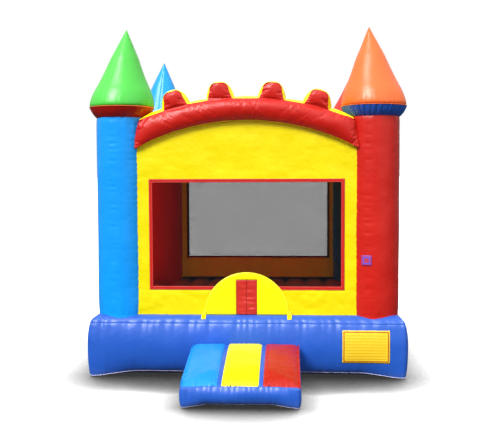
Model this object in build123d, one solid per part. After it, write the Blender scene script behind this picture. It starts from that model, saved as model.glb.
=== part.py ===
from build123d import *
import os
from math import acos, atan2, cos, hypot, radians, sin, sqrt

# Inflatable castle bounce house, inflated, about 13 ft square. Millimetres, +Z up.
# The origin is on the ground under the middle of the base. -Y is the entrance side, +X its right.
# Every chamber is drawn as it is sewn: open air inside, and a skin of coated-fabric panels.

# ---- fabric and seams ----
panel = 3.0  # drawn thickness of one layer of coated fabric
netting = 2.0  # drawn thickness of the window netting
seam_gap = 0.5  # room left between a panel and the round chamber that it is sewn to

# ---- base ----
base_width = 3960.0  # along X
base_depth = 3960.0  # along Y
base_height = 750.0
base_corner_radius = 100.0
deck_edge_radius = 80.0
deck_seam_drop = 93.0  # the deck panel wraps this far down over the top edge
air_port_margin = 90.0  # from a tower's wall to the edge of the air port under it

# ---- bouncing floor ----
floor_margin = 80.0  # from the wall plane inwards to the floor's edge
floor_rib_count = 11
floor_rib_depth = 55.0
floor_edge_depth = 95.0  # the floor's own edge reaches this far below the deck
tower_lobe_margin = 30.0  # deck left around each tower's foot
baffle_end_gap = 100.0  # air passes round the baffles' ends, short of the floor's turned-down edge

# ---- corner towers and their cones ----
tower_radius = 320.0
tower_edge_margin = 85.0  # from the base's side to the tower's wall
tower_height = 2450.0  # above the deck
collar_height = 130.0
collar_overhang = 85.0
cone_height = 980.0
cone_shoulder_radius = 540.0

# ---- walls ----
wall_setback = 180.0  # from the base's side to the middle of the wall panel
spring_drop = 380.0  # from the towers' tops down to the beams' undersides, where they meet the towers
window_sill = 310.0  # above the deck, to the outside of the binding
window_head_drop = 385.0  # below the spring line
window_side_margin = 138.0  # from the tower to the outside of the binding
binding_width = 44.0
binding_lap = 22.0  # how far the binding covers the panel

# ---- top beams ----
beam_setback = 120.0  # from the base's side to the beam's outer face
beam_depth = 300.0
beam_thickness = 300.0
beam_edge_radius = 110.0
arch_rise = 325.0
merlon_angles = (-15.4, -5.6, 5.6, 15.4)
merlon_height = 190.0
merlon_foot_width = 260.0
merlon_top_width = 180.0
merlon_top_radius = 60.0
merlon_root = 40.0  # how far the merlon's foot is buried in the beam

# ---- roof ----
roof_crown_drop = 85.0  # below the top of the arches
roof_edge_drop = 120.0  # below the top of the side beams
roof_strip_width = 50.0
roof_strip_end_gap = 120.0

# ---- entrance ----
doorway_width = 260.0
doorway_height = 435.0
half_moon_radius = 530.0
flap_side_clearance = 4.0
flap_meeting_gap = 3.0
flap_floor_clearance = 5.0
tie_tab_width = 55.0
tie_tab_length = 95.0
tie_tab_rise = 60.0

# ---- entrance step ----
step_width = 1320.0
step_length = 1270.0
step_rear_height = 450.0
step_front_height = 245.0
step_edge_radius = 40.0
step_pad_thickness = 25.0
step_pad_gap = 47.0
step_pad_side_margin = 13.0
step_pad_end_margin = 40.0

# ---- patches ----
placard_width = 575.0
placard_height = 400.0
placard_side_distance = 520.0  # from the base's right side to the placard's middle
placard_centre_height = 390.0
tower_patch_size = 120.0
tower_patch_height = 688.0  # above the deck
tower_patch_angle = -19.4  # round the tower, from straight ahead
patch_thickness = 2.0

# ---- ground anchors ----
anchor_corner_distance = 480.0
anchor_ring_height = 200.0
anchor_patch_size = 150.0
webbing_width = 50.0
webbing_thickness = 2.5
webbing_stitched_length = 90.0
ring_rod_radius = 4.0
ring_mean_radius = 33.0
ring_running_gap = 0.1

# ---- inflation tube ----
tube_bore_radius = 127.0
tube_length = 700.0
tube_ground_clearance = 30.0
tube_side_offset = -900.0
tube_port_radius = 110.0
tube_strap_width = 38.0
tube_strap_from_mouth = 80.0
buckle_length = 46.0
buckle_thickness = 9.0

# ---- deflation zip ----
zip_offset = 750.0
zip_bottom_height = 130.0
zip_length = 450.0
zip_tape_width = 60.0
zip_tape_thickness = 1.5
zip_teeth_width = 8.0
zip_teeth_thickness = 3.0
zip_clearance = 0.3
slider_length = 28.0
slider_width = 16.0
slider_wall = 2.0
pull_pin_radius = 1.5
pull_lug_width = 2.5
pull_eye_radius = 3.5
pull_length = 45.0
pull_width = 8.0
pull_thickness = 2.0

# ---- places worked out from the sizes above ----
half_width = base_width / 2
half_depth = base_depth / 2
deck = base_height
tower_x = half_width - tower_edge_margin - tower_radius
tower_y = half_depth - tower_edge_margin - tower_radius
air_port_radius = tower_radius - air_port_margin
tower_places = {
    "front_left": (-tower_x, -tower_y),
    "front_right": (tower_x, -tower_y),
    "rear_left": (-tower_x, tower_y),
    "rear_right": (tower_x, tower_y),
}
tower_top = deck + tower_height
rim_radius = tower_radius + collar_overhang
cone_base = tower_top + collar_height
wall_x = half_width - wall_setback
wall_y = half_depth - wall_setback
front_wall_end = tower_x - sqrt(tower_radius**2 - (wall_y - tower_y) ** 2)
spring = tower_top - spring_drop
arch_inner_radius = (front_wall_end**2 + arch_rise**2) / (2 * arch_rise)
arch_outer_radius = arch_inner_radius + beam_thickness
arch_centre = spring + arch_rise - arch_inner_radius
beam_outer_x = half_width - beam_setback
beam_outer_y = half_depth - beam_setback
side_beam_top = spring + beam_thickness
floor_x = wall_x - floor_margin
floor_y = wall_y - floor_margin
window_half_width = front_wall_end - window_side_margin
window_bottom = deck + window_sill
window_top = spring - window_head_drop
step_pad_width = (step_width - 2 * step_pad_side_margin - 2 * step_pad_gap) / 3
tube_axis_height = tube_ground_clearance + panel + tube_bore_radius


def span_box(x0, x1, y0, y1, z0, z1):
    """A box given by its lowest and highest corners."""
    centre = Pos((x0 + x1) / 2, (y0 + y1) / 2, (z0 + z1) / 2)
    return centre * Box(x1 - x0, y1 - y0, z1 - z0)


def upright(face, front_y, thickness):
    """A flat panel, drawn in X and Z, that stands with its front at front_y."""
    stand = Plane((0, front_y, 0), x_dir=(1, 0, 0), z_dir=(0, -1, 0))
    return extrude(stand * face, -thickness)


def rectangle(x0, x1, z0, z1):
    """A flat rectangle given by its corners."""
    return Pos((x0 + x1) / 2, (z0 + z1) / 2) * Rectangle(x1 - x0, z1 - z0)


def save(name, shape):
    """Writes one named sub-part."""
    export_step(shape, f"parts/{name}.step")


def rounded_block(inset, bottom, top):
    """The base's outer form, or with an inset the air space inside it."""
    plan = RectangleRounded(base_width - 2 * inset, base_depth - 2 * inset, base_corner_radius - inset)
    block = extrude(Pos(0, 0, bottom) * plan, top - bottom)
    return fillet(block.faces().sort_by(Axis.Z)[-1].edges(), deck_edge_radius - inset)


def floor_outline(inset):
    """Plan of the bouncing floor: a rectangle with its corners cut round the towers' feet."""
    plan = Rectangle(2 * (floor_x - inset), 2 * (floor_y - inset))
    for x, y in tower_places.values():
        plan -= Pos(x, y) * Circle(tower_radius + tower_lobe_margin + inset)
    return plan


def base_panels():
    """Ground sheet, side skirt and deck, split along the seams of one rounded block."""
    skin = rounded_block(0, 0, deck) - rounded_block(panel, panel, deck - panel)
    seam = deck - deck_seam_drop
    wide = base_width + base_depth
    ground = skin & span_box(-wide, wide, -wide, wide, 0, panel)
    skirt = skin & span_box(-wide, wide, -wide, wide, panel, seam)
    tube_port = Pos(tube_side_offset, half_depth, tube_axis_height) * Rot(90, 0, 0)
    skirt -= tube_port * Cylinder(tube_port_radius, 4 * panel)
    top = skin & span_box(-wide, wide, -wide, wide, seam, deck)
    top -= extrude(Pos(0, 0, seam) * floor_outline(-seam_gap), deck_seam_drop)
    for x, y in tower_places.values():
        top -= Pos(x, y, deck) * Cylinder(air_port_radius, 4 * panel)
    return ground, skirt, top


def ribbed_prism(drop, bottom):
    """A block as deep as the base whose top is a row of round ribs along Y."""
    pitch = 2 * floor_x / floor_rib_count
    crown = deck - drop
    groove = crown - floor_rib_depth
    outline = []
    for i in range(floor_rib_count):
        left = -floor_x + i * pitch
        outline.append(ThreePointArc((left, groove), (left + pitch / 2, crown), (left + pitch, groove)))
    outline.append(Polyline((floor_x, groove), (floor_x, bottom), (-floor_x, bottom), (-floor_x, groove)))
    return upright(make_face(Curve() + outline), -half_depth, base_depth)


def jump_floor():
    """The ribbed bouncing floor, with its edge turned down all round."""
    bottom = deck - floor_edge_depth
    outer = extrude(Pos(0, 0, bottom) * floor_outline(0), floor_edge_depth) & ribbed_prism(0, bottom)
    inside = extrude(Pos(0, 0, bottom - panel) * floor_outline(panel), floor_edge_depth)
    return outer - (inside & ribbed_prism(panel, bottom - panel))


def floor_baffles():
    """Upright tie sheets inside the base, one under each groove of the floor."""
    pitch = 2 * floor_x / floor_rib_count
    top = deck - floor_rib_depth - panel
    reach = tower_y - tower_radius - tower_lobe_margin - baffle_end_gap
    sheets = []
    for i in range(1, floor_rib_count):
        x = -floor_x + i * pitch
        sheets.append(span_box(x - panel / 2, x + panel / 2, -reach, reach, panel, top))
    return Compound(sheets)


def cone_profile(inset):
    """Half section of a turret cone: a round shoulder at the rim, then straight to the tip."""
    shoulder = cone_shoulder_radius - inset
    centre_x = rim_radius - cone_shoulder_radius
    outer_distance = hypot(centre_x, cone_height)
    slope = atan2(cone_height, -centre_x) - acos(cone_shoulder_radius / outer_distance)
    tip = cone_height - inset / sin(slope)
    touch = (centre_x + shoulder * cos(slope), shoulder * sin(slope))
    middle = (centre_x + shoulder * cos(slope / 2), shoulder * sin(slope / 2))
    rim = (centre_x + shoulder, 0)
    edges = [ThreePointArc(rim, middle, touch), Polyline(touch, (0, tip), (0, 0), rim)]
    return make_face(Curve() + edges)


def turned(face):
    """A face drawn with X as radius and Y as height, turned about the Z axis."""
    return revolve(Plane.XZ * face, Axis.Z)


def cone_solid(inset):
    return Pos(0, 0, cone_base) * turned(cone_profile(inset))


def collar_solid(inset):
    middle = Pos(0, 0, tower_top + collar_height / 2)
    return middle * Cone(tower_radius - inset, rim_radius - inset, collar_height)


def tower_solid(inset):
    return Pos(0, 0, deck + tower_height / 2) * Cylinder(tower_radius - inset, tower_height)


def turret_space():
    """What the four towers take up, with the seam gap: other panels are cut back to it."""
    shapes = []
    for x, y in tower_places.values():
        tower = tower_solid(-seam_gap) + collar_solid(-seam_gap) + cone_solid(-seam_gap)
        shapes.append(Pos(x, y, 0) * tower)
    return shapes


def cut_back(shape, spaces):
    for space in spaces:
        shape = shape - space
    return shape


def merlon(angle, inset):
    """One battlement of an arch, pointing away from the arch's centre."""
    low = arch_outer_radius - merlon_root
    high = arch_outer_radius + merlon_height - inset
    foot = merlon_foot_width / 2 - inset
    head = merlon_top_width / 2 - inset
    face = make_face(Polyline((-foot, low), (foot, low), (head, high), (-head, high), close=True))
    face = fillet(face.vertices().group_by(Axis.Y)[-1], merlon_top_radius - inset)
    return Pos(0, arch_centre) * Rot(0, 0, -angle) * face


def arch_outline(inset, battlements):
    """Front view of an arch beam, or with an inset of the air space inside it."""
    band = Pos(0, arch_centre) * (Circle(arch_outer_radius - inset) - Circle(arch_inner_radius + inset))
    band &= rectangle(-tower_x, tower_x, arch_centre, arch_centre + 2 * arch_outer_radius)
    for angle in battlements:
        band += merlon(angle, inset)
    return band


def arch_panels(outer_y, inward, battlements, spaces):
    """Face, gusset and back of one arch. inward is +1 when the beam lies towards +Y of outer_y."""
    inner_y = outer_y + inward * beam_depth
    front_y, rear_y = sorted((outer_y, inner_y))
    outline = arch_outline(0, battlements)
    front = upright(outline, front_y, panel)
    rear = upright(outline, rear_y - panel, panel)
    rim = outline - arch_outline(panel, battlements)
    gusset = upright(rim, front_y + panel, beam_depth - 2 * panel)
    face, back = (front, rear) if inward > 0 else (rear, front)
    return cut_back(face, spaces), cut_back(gusset, spaces), cut_back(back, spaces)


def side_beam(side, inset):
    """A straight top beam along Y. side is -1 for left and +1 for right."""
    section = RectangleRounded(beam_depth - 2 * inset, beam_thickness - 2 * inset, beam_edge_radius - inset)
    centre_x = side * (beam_outer_x - beam_depth / 2)
    placed = Pos(centre_x, spring + beam_thickness / 2) * section
    return upright(placed, -tower_y, 2 * tower_y)


def window_cut():
    """The hole that the netting fills, a binding lap inside the binding's outer edge."""
    lap = binding_lap
    return rectangle(
        -window_half_width + lap, window_half_width - lap, window_bottom + lap, window_top - lap
    )


def doorway():
    return rectangle(-doorway_width / 2, doorway_width / 2, deck, deck + doorway_height)


def end_wall(front_y, spaces, with_doorway):
    """A front or rear wall panel with its window hole, cut to the towers and the arch above."""
    face = Pos(0, arch_centre) * Circle(arch_inner_radius)
    face &= rectangle(-tower_x, tower_x, deck, arch_centre + 2 * arch_inner_radius)
    face -= window_cut()
    if with_doorway:
        face -= doorway()
    return cut_back(upright(face, front_y, panel), spaces)


def side_wall(side, spaces):
    """A plain side wall panel, cut to the towers and the beam above."""
    x0, x1 = sorted((side * (wall_x - panel / 2), side * (wall_x + panel / 2)))
    sheet = span_box(x0, x1, -tower_y, tower_y, deck, spring + beam_thickness / 2)
    return cut_back(sheet, spaces) - side_beam(side, 0)


def netting_sheet(with_doorway):
    face = rectangle(-window_half_width, window_half_width, window_bottom, window_top)
    return face - doorway() if with_doorway else face


def binding_frame(with_doorway):
    outer = rectangle(-window_half_width, window_half_width, window_bottom, window_top)
    inner = rectangle(
        -window_half_width + binding_width,
        window_half_width - binding_width,
        window_bottom + binding_width,
        window_top - binding_width,
    )
    frame = outer - inner
    return frame - doorway() if with_doorway else frame


def half_moon_panel(front_y):
    """The two-layer reinforcing panel round the doorway. It lies over the window's binding."""
    disc = Pos(0, deck) * Circle(half_moon_radius)
    disc &= rectangle(-half_moon_radius, half_moon_radius, deck, deck + half_moon_radius)
    outer = upright(disc - doorway(), front_y, panel)
    below = rectangle(-half_moon_radius, half_moon_radius, deck, window_bottom)
    inner = upright((disc & below) - doorway(), front_y + panel, panel)
    return outer + inner


def door_flap(side, front_y):
    """One half of the split door. It turns about its outer upright edge."""
    outer = doorway_width / 2 - flap_side_clearance
    inner = flap_meeting_gap / 2
    x0, x1 = sorted((side * outer, side * inner))
    bottom = deck + flap_floor_clearance
    return upright(rectangle(x0, x1, bottom, deck + doorway_height - flap_side_clearance), front_y, panel)


def tie_tabs(front_y):
    """Two short straps that hold the wall's foot down on the deck beside the half moon."""
    tabs = []
    for side in (-1, 1):
        x0 = side * half_moon_radius - tie_tab_width / 2
        x1 = x0 + tie_tab_width
        tongue = span_box(x0, x1, front_y - tie_tab_length, front_y, deck, deck + panel)
        rise = span_box(x0, x1, front_y - panel, front_y, deck, deck + tie_tab_rise)
        tabs.append(tongue + rise)
    return Compound(tabs)


def roof_sizes():
    """Half width, radius and centre height of the roof's underside."""
    half = beam_outer_x - beam_depth - panel
    crown = arch_centre + arch_outer_radius - roof_crown_drop
    edge = side_beam_top - roof_edge_drop
    rise = crown - edge
    radius = (half**2 + rise**2) / (2 * rise)
    return half, radius, crown - radius


def roof_cover(spaces):
    """One curved sheet between the four top beams."""
    half, radius, centre = roof_sizes()
    band = Pos(0, centre) * (Circle(radius + panel) - Circle(radius))
    band &= rectangle(-half, half, centre, centre + 2 * radius)
    reach = beam_outer_y - beam_depth - panel
    return cut_back(upright(band, -reach, 2 * reach), spaces)


def roof_strips():
    """Hook-and-loop strips on the beams' inner faces, under the roof's edges."""
    half, radius, centre = roof_sizes()
    clear = tower_radius + roof_strip_end_gap
    edge = side_beam_top - roof_edge_drop
    strips = []
    for side in (-1, 1):
        x0, x1 = sorted((side * half, side * (half + panel)))
        reach = tower_y - clear
        strips.append(span_box(x0, x1, -reach, reach, edge - roof_strip_width, edge))
    band = Pos(0, centre) * (Circle(radius) - Circle(radius - roof_strip_width))
    reach = tower_x - clear
    band &= rectangle(-reach, reach, centre, centre + 2 * radius)
    inner_y = beam_outer_y - beam_depth
    strips.append(upright(band, -inner_y, panel))
    strips.append(upright(band, inner_y - panel, panel))
    return Compound(strips)


def step_block(inset):
    """The step's wedge: it lies against the base and falls towards the front."""
    rear = -half_depth - inset
    front = -half_depth - step_length + inset
    slope = (step_rear_height - step_front_height) / step_length
    front_top = step_front_height - step_pad_thickness - inset
    rear_top = front_top + slope * (rear - front)
    side = Plane((step_width / 2 - inset, 0, 0), x_dir=(0, 1, 0), z_dir=(1, 0, 0))
    wedge = Polyline((rear, inset), (front, inset), (front, front_top), (rear, rear_top), close=True)
    block = extrude(side * make_face(wedge), -(step_width - 2 * inset))
    front_face = block.faces().sort_by(Axis.Y)[0]
    uprights = front_face.edges().filter_by(Axis.Z)
    block = fillet(uprights, step_edge_radius - inset)
    top = block.faces().filter_by(lambda f: f.normal_at().Z > 0.5)[0]
    soft_edges = top.edges().filter_by(lambda e: e.center().Y < rear - 1)
    return fillet(soft_edges, (step_edge_radius - inset) / 2)


def step_pad(column):
    """One coloured cushion on the step. column is -1, 0 or 1 from left to right."""
    slope = (step_rear_height - step_front_height) / step_length
    rear = -half_depth - step_pad_end_margin
    front = -half_depth - step_length + step_pad_end_margin
    low = step_front_height - step_pad_thickness + slope * step_pad_end_margin
    high = low + slope * (rear - front)
    t = step_pad_thickness
    outline = Polyline((front, low), (rear, high), (rear, high + t), (front, low + t), close=True)
    x = column * (step_pad_width + step_pad_gap)
    side = Plane((x + step_pad_width / 2, 0, 0), x_dir=(0, 1, 0), z_dir=(1, 0, 0))
    return extrude(side * make_face(outline), -step_pad_width)


def placard():
    """A sewn-on information patch, on the front of the base."""
    x = half_width - placard_side_distance
    face = Pos(x, placard_centre_height) * Rectangle(placard_width, placard_height)
    return upright(face, -half_depth - patch_thickness, patch_thickness)


def tower_patch():
    """A small square fastening patch that follows the front right tower."""
    x, y = tower_places["front_right"]
    height = deck + tower_patch_height
    tube = Cylinder(tower_radius + patch_thickness, tower_patch_size) - Cylinder(tower_radius, tower_patch_size)
    slab = Pos(0, -tower_radius, 0) * Box(tower_patch_size, tower_radius, tower_patch_size)
    return Pos(x, y, height) * Rot(0, 0, tower_patch_angle) * (tube & slab)


# An anchor is drawn on a wall at x = 0 that faces +X, with the ring's bar on the Y axis at z = 0.
eye_inner_radius = ring_rod_radius + ring_running_gap
eye_outer_radius = eye_inner_radius + webbing_thickness
ring_axis_offset = patch_thickness + eye_outer_radius
anchor_places = {
    "left_front": (-half_width, -half_depth + anchor_corner_distance, 180),
    "left_rear": (-half_width, half_depth - anchor_corner_distance, 180),
    "right_front": (half_width, -half_depth + anchor_corner_distance, 0),
    "right_rear": (half_width, half_depth - anchor_corner_distance, 0),
    "rear_left": (-half_width + anchor_corner_distance, half_depth, 90),
    "rear_right": (half_width - anchor_corner_distance, half_depth, 90),
}


def anchor_patch():
    low = -anchor_patch_size / 3
    side = anchor_patch_size / 2
    return span_box(0, patch_thickness, -side, side, low, low + anchor_patch_size)


def anchor_webbing():
    """Webbing folded round the ring's bar, with both ends sewn up on the patch."""
    along_y = Pos(ring_axis_offset, 0, 0) * Rot(90, 0, 0)
    tails = span_box(
        patch_thickness,
        patch_thickness + 2 * webbing_thickness,
        -webbing_width / 2,
        webbing_width / 2,
        0,
        webbing_stitched_length,
    )
    strap = tails + along_y * Cylinder(eye_outer_radius, webbing_width)
    return strap - along_y * Cylinder(eye_inner_radius, 2 * webbing_width)


def anchor_ring():
    """A steel D ring: a straight bar on Y and a half round below it."""
    bar = Rot(90, 0, 0) * Cylinder(ring_rod_radius, 2 * ring_mean_radius)
    rod = Plane.XY * Pos(0, ring_mean_radius) * Circle(ring_rod_radius)
    bow = revolve(rod, Axis.X, -180)
    ring = bar + bow
    for side in (-1, 1):
        ring += Pos(0, side * ring_mean_radius, 0) * Sphere(ring_rod_radius)
    return Pos(ring_axis_offset, 0, 0) * ring


def at_anchor(place, shape):
    x, y, turn = place
    return Pos(x, y, anchor_ring_height) * Rot(0, 0, turn) * shape


def inflation_tube():
    """The sleeve that the blower's nozzle is strapped into, sewn to the back of the base."""
    along = Pos(tube_side_offset, half_depth + tube_length / 2, tube_axis_height) * Rot(90, 0, 0)
    outer = Cylinder(tube_bore_radius + panel, tube_length)
    return along * (outer - Cylinder(tube_bore_radius, tube_length))


def tube_strap():
    centre_y = half_depth + tube_length - tube_strap_from_mouth
    along = Pos(tube_side_offset, centre_y, tube_axis_height) * Rot(90, 0, 0)
    outer = Cylinder(tube_bore_radius + panel + webbing_thickness, tube_strap_width)
    return along * (outer - Cylinder(tube_bore_radius + panel, tube_strap_width))


def tube_buckle():
    """A cam buckle on top of the strap, open underneath to the strap's curve."""
    centre_y = half_depth + tube_length - tube_strap_from_mouth
    strap_top = tube_bore_radius + panel + webbing_thickness
    width = tube_strap_width + 2 * buckle_thickness
    body = Pos(0, 0, strap_top) * Box(buckle_length, width, 2 * buckle_thickness)
    body = fillet(body.edges().filter_by(Axis.Z), buckle_thickness / 2)
    body -= Rot(90, 0, 0) * Cylinder(strap_top, 2 * width)
    return Pos(tube_side_offset, centre_y, tube_axis_height) * body


def zip_tape():
    y0 = half_depth
    x0 = zip_offset - zip_tape_width / 2
    top = zip_bottom_height + zip_length
    return span_box(x0, x0 + zip_tape_width, y0, y0 + zip_tape_thickness, zip_bottom_height, top)


def zip_teeth():
    y0 = half_depth + zip_tape_thickness
    x0 = zip_offset - zip_teeth_width / 2
    top = zip_bottom_height + zip_length
    return span_box(x0, x0 + zip_teeth_width, y0, y0 + zip_teeth_thickness, zip_bottom_height, top)


# The zip's slider rests at the bottom stop, with its pull hanging from two lugs.
slider_base = zip_bottom_height + slider_wall
slider_inner_y = half_depth + zip_tape_thickness + zip_clearance
slider_outer_y = half_depth + zip_tape_thickness + zip_teeth_thickness + zip_clearance + slider_wall
pull_axis_y = slider_outer_y + pull_eye_radius + zip_clearance
pull_axis_z = slider_base + slider_length / 2


def zip_slider():
    """A shoe that straddles the teeth, with two lugs and the pin that the pull hangs on."""
    x0 = zip_offset - slider_width / 2
    shoe = span_box(x0, x0 + slider_width, slider_inner_y, slider_outer_y, slider_base, slider_base + slider_length)
    room = zip_teeth_width / 2 + zip_clearance
    shoe -= span_box(
        zip_offset - room,
        zip_offset + room,
        half_depth,
        slider_outer_y - slider_wall,
        zip_bottom_height,
        slider_base + 2 * slider_length,
    )
    along_x = Pos(zip_offset, pull_axis_y, pull_axis_z) * Rot(0, 90, 0)
    lug_gap = pull_width + 2 * zip_clearance
    for side in (-1, 1):
        middle = zip_offset + side * (lug_gap + pull_lug_width) / 2
        x_low = middle - pull_lug_width / 2
        reach = pull_axis_y + pull_eye_radius
        z_low = pull_axis_z - pull_eye_radius
        shoe += span_box(x_low, x_low + pull_lug_width, slider_outer_y, reach, z_low, z_low + 2 * pull_eye_radius)
    return shoe + along_x * Cylinder(pull_pin_radius, lug_gap + 2 * pull_lug_width)


def zip_pull():
    along_x = Pos(zip_offset, pull_axis_y, pull_axis_z) * Rot(0, 90, 0)
    eye = along_x * Cylinder(pull_eye_radius, pull_width)
    x0 = zip_offset - pull_width / 2
    y0 = pull_axis_y - pull_thickness / 2
    blade = span_box(x0, x0 + pull_width, y0, y0 + pull_thickness, pull_axis_z - pull_length, pull_axis_z)
    return eye + blade - along_x * Cylinder(pull_pin_radius + ring_running_gap / 2, 2 * pull_width)


os.makedirs("parts", exist_ok=True)
spaces = turret_space()

ground_sheet, base_skirt, base_deck = base_panels()
save("ground_sheet", ground_sheet)
save("base_skirt", base_skirt)
save("base_deck", base_deck)
save("jump_floor", jump_floor())
save("floor_baffles", floor_baffles())

for corner, (x, y) in tower_places.items():
    at = Pos(x, y, 0)
    save(f"{corner}_tower", at * (tower_solid(0) - tower_solid(panel)))
    save(f"{corner}_collar", at * (collar_solid(0) - collar_solid(panel)))
    save(f"{corner}_cone", at * (cone_solid(0) - cone_solid(panel)))

front_arch = arch_panels(-beam_outer_y, 1, merlon_angles, spaces)
rear_arch = arch_panels(beam_outer_y, -1, (), spaces)
for end, panels in (("front", front_arch), ("rear", rear_arch)):
    for role, shape in zip(("face", "gusset", "back"), panels):
        save(f"{end}_arch_{role}", shape)
save("left_side_beam", cut_back(side_beam(-1, 0) - side_beam(-1, panel), spaces))
save("right_side_beam", cut_back(side_beam(1, 0) - side_beam(1, panel), spaces))

# The layers of the front wall, from the inside out: netting, wall, binding, half moon and flaps.
front_wall_face = -wall_y - panel / 2
rear_wall_face = wall_y + panel / 2
save("front_wall", end_wall(front_wall_face, spaces, True))
save("rear_wall", end_wall(rear_wall_face - panel, spaces, False))
save("left_wall", side_wall(-1, spaces))
save("right_wall", side_wall(1, spaces))
save("front_window_netting", upright(netting_sheet(True), front_wall_face + panel, netting))
save("rear_window_netting", upright(netting_sheet(False), rear_wall_face - panel - netting, netting))
save("front_window_binding", upright(binding_frame(True), front_wall_face - panel, panel))
save("rear_window_binding", upright(binding_frame(False), rear_wall_face, panel))
half_moon_face = front_wall_face - 2 * panel
save("entrance_half_moon", half_moon_panel(half_moon_face))
save("entrance_flap_left", door_flap(-1, half_moon_face))
save("entrance_flap_right", door_flap(1, half_moon_face))
save("wall_tie_tabs", tie_tabs(half_moon_face))

save("roof_cover", roof_cover(spaces))
save("roof_fastening_strips", roof_strips())

save("step_body", step_block(0) - step_block(panel))
for colour, column in (("blue", -1), ("yellow", 0), ("red", 1)):
    save(f"step_pad_{colour}", step_pad(column))

save("information_placard", placard())
save("tower_fastening_patch", tower_patch())

save("anchor_patches", Compound([at_anchor(p, anchor_patch()) for p in anchor_places.values()]))
save("anchor_webbing", Compound([at_anchor(p, anchor_webbing()) for p in anchor_places.values()]))
for name, place in anchor_places.items():
    save(f"anchor_ring_{name}", at_anchor(place, anchor_ring()))

save("inflation_tube", inflation_tube())
save("inflation_tube_strap", tube_strap())
save("inflation_tube_buckle", tube_buckle())
save("zip_tape", zip_tape())
save("zip_teeth", zip_teeth())
save("zip_slider", zip_slider())
save("zip_pull", zip_pull())
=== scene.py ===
import random
from math import acos, asin, atan2, cos, exp, hypot, pi, radians, sin, sqrt

import bmesh
import bpy
import numpy as np
from mathutils import Matrix, Vector, noise
from mathutils.bvhtree import BVHTree
from mathutils.geometry import delaunay_2d_cdt


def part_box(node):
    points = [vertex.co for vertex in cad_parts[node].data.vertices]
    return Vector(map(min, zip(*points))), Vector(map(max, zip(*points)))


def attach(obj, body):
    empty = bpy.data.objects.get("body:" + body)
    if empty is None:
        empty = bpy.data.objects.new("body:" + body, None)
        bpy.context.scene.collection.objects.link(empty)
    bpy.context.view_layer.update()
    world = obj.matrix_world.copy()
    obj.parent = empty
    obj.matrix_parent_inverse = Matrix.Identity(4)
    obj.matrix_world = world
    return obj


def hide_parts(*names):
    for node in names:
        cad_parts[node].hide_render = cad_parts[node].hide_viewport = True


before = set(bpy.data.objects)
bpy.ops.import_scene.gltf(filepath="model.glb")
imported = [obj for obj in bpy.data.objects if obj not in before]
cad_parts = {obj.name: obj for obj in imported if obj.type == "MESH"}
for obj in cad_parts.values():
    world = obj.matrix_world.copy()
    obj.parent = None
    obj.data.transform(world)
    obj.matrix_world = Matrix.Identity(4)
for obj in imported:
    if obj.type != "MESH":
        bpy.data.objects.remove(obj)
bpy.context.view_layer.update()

scene = bpy.context.scene

# ---- Studio ----
# A white paper floor that runs to the horizon and is shaded close to the house, most of all in front of it.
# The soft white sky is dim towards the horizon. A big soft lamp stands high on the left of the entrance and
# a weaker one on the right. The viewer stands a little right of the doorway, 9.5 m in front of the base.
floor_mesh = bpy.data.meshes.new("studio_floor")
floor_reach, floor_drop = 400.0, 0.003
square_corners = ((-1, -1), (1, -1), (1, 1), (-1, 1))
floor_corners = [(x * floor_reach, y * floor_reach, -floor_drop) for x, y in square_corners]
floor_mesh.from_pydata(floor_corners, [], [(0, 1, 2, 3)])
studio_floor = bpy.data.objects.new("studio_floor", floor_mesh)
scene.collection.objects.link(studio_floor)
shade_reach, shade_depth, shade_gain = 0.80, 3.6, 1.9
shade_lean = (0.92, 0.38)  # the shade looks mostly backwards, so it lies in front of the house
paper = bpy.data.materials.new("white_paper")
paper.use_nodes = True
paper_nodes, paper_links = paper.node_tree.nodes, paper.node_tree.links
paper_nodes.remove(paper_nodes["Principled BSDF"])
paper_glow = paper_nodes.new("ShaderNodeEmission")
paper_shade = paper_nodes.new("ShaderNodeAmbientOcclusion")
paper_shade.samples = 8
paper_shade.inputs["Distance"].default_value = shade_reach
paper_lean = paper_nodes.new("ShaderNodeCombineXYZ")
paper_lean.inputs["Y"].default_value, paper_lean.inputs["Z"].default_value = shade_lean
paper_links.new(paper_lean.outputs[0], paper_shade.inputs["Normal"])
shade_level = paper_shade.outputs["AO"]
for operation, amount in (("POWER", shade_depth), ("MULTIPLY", shade_gain)):
    step = paper_nodes.new("ShaderNodeMath")
    step.operation = operation
    step.inputs[1].default_value = amount
    paper_links.new(shade_level, step.inputs[0])
    shade_level = step.outputs[0]
paper_links.new(shade_level, paper_glow.inputs["Strength"])
paper_links.new(paper_glow.outputs[0], paper_nodes["Material Output"].inputs["Surface"])
studio_floor.visible_diffuse = studio_floor.visible_glossy = False
floor_mesh.materials.append(paper)

sky = bpy.data.worlds.new("white_sky")
sky.use_nodes = True
sky_nodes, sky_links = sky.node_tree.nodes, sky.node_tree.links
overhead_fill, ground_fill, sky_seen = 1.35, 0.08, 1.0
sky_low, sky_high = -0.15, 0.85
white = (1.0, 1.0, 1.0, 1.0)
shine = sky_nodes["Background"]
sky_way = sky_nodes.new("ShaderNodeTexCoord")
sky_split = sky_nodes.new("ShaderNodeSeparateXYZ")
sky_level = sky_nodes.new("ShaderNodeMapRange")
sky_range = {"From Min": sky_low, "From Max": sky_high, "To Min": ground_fill, "To Max": overhead_fill}
for socket, value in sky_range.items():
    sky_level.inputs[socket].default_value = value
sky_links.new(sky_way.outputs["Generated"], sky_split.inputs[0])
sky_links.new(sky_split.outputs["Z"], sky_level.inputs["Value"])
sky_links.new(sky_level.outputs[0], shine.inputs["Strength"])
shine.inputs["Color"].default_value = white
backdrop = sky_nodes.new("ShaderNodeBackground")
backdrop.inputs["Color"].default_value = white
backdrop.inputs["Strength"].default_value = sky_seen
which = sky_nodes.new("ShaderNodeMixShader")
path = sky_nodes.new("ShaderNodeLightPath")
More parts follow.
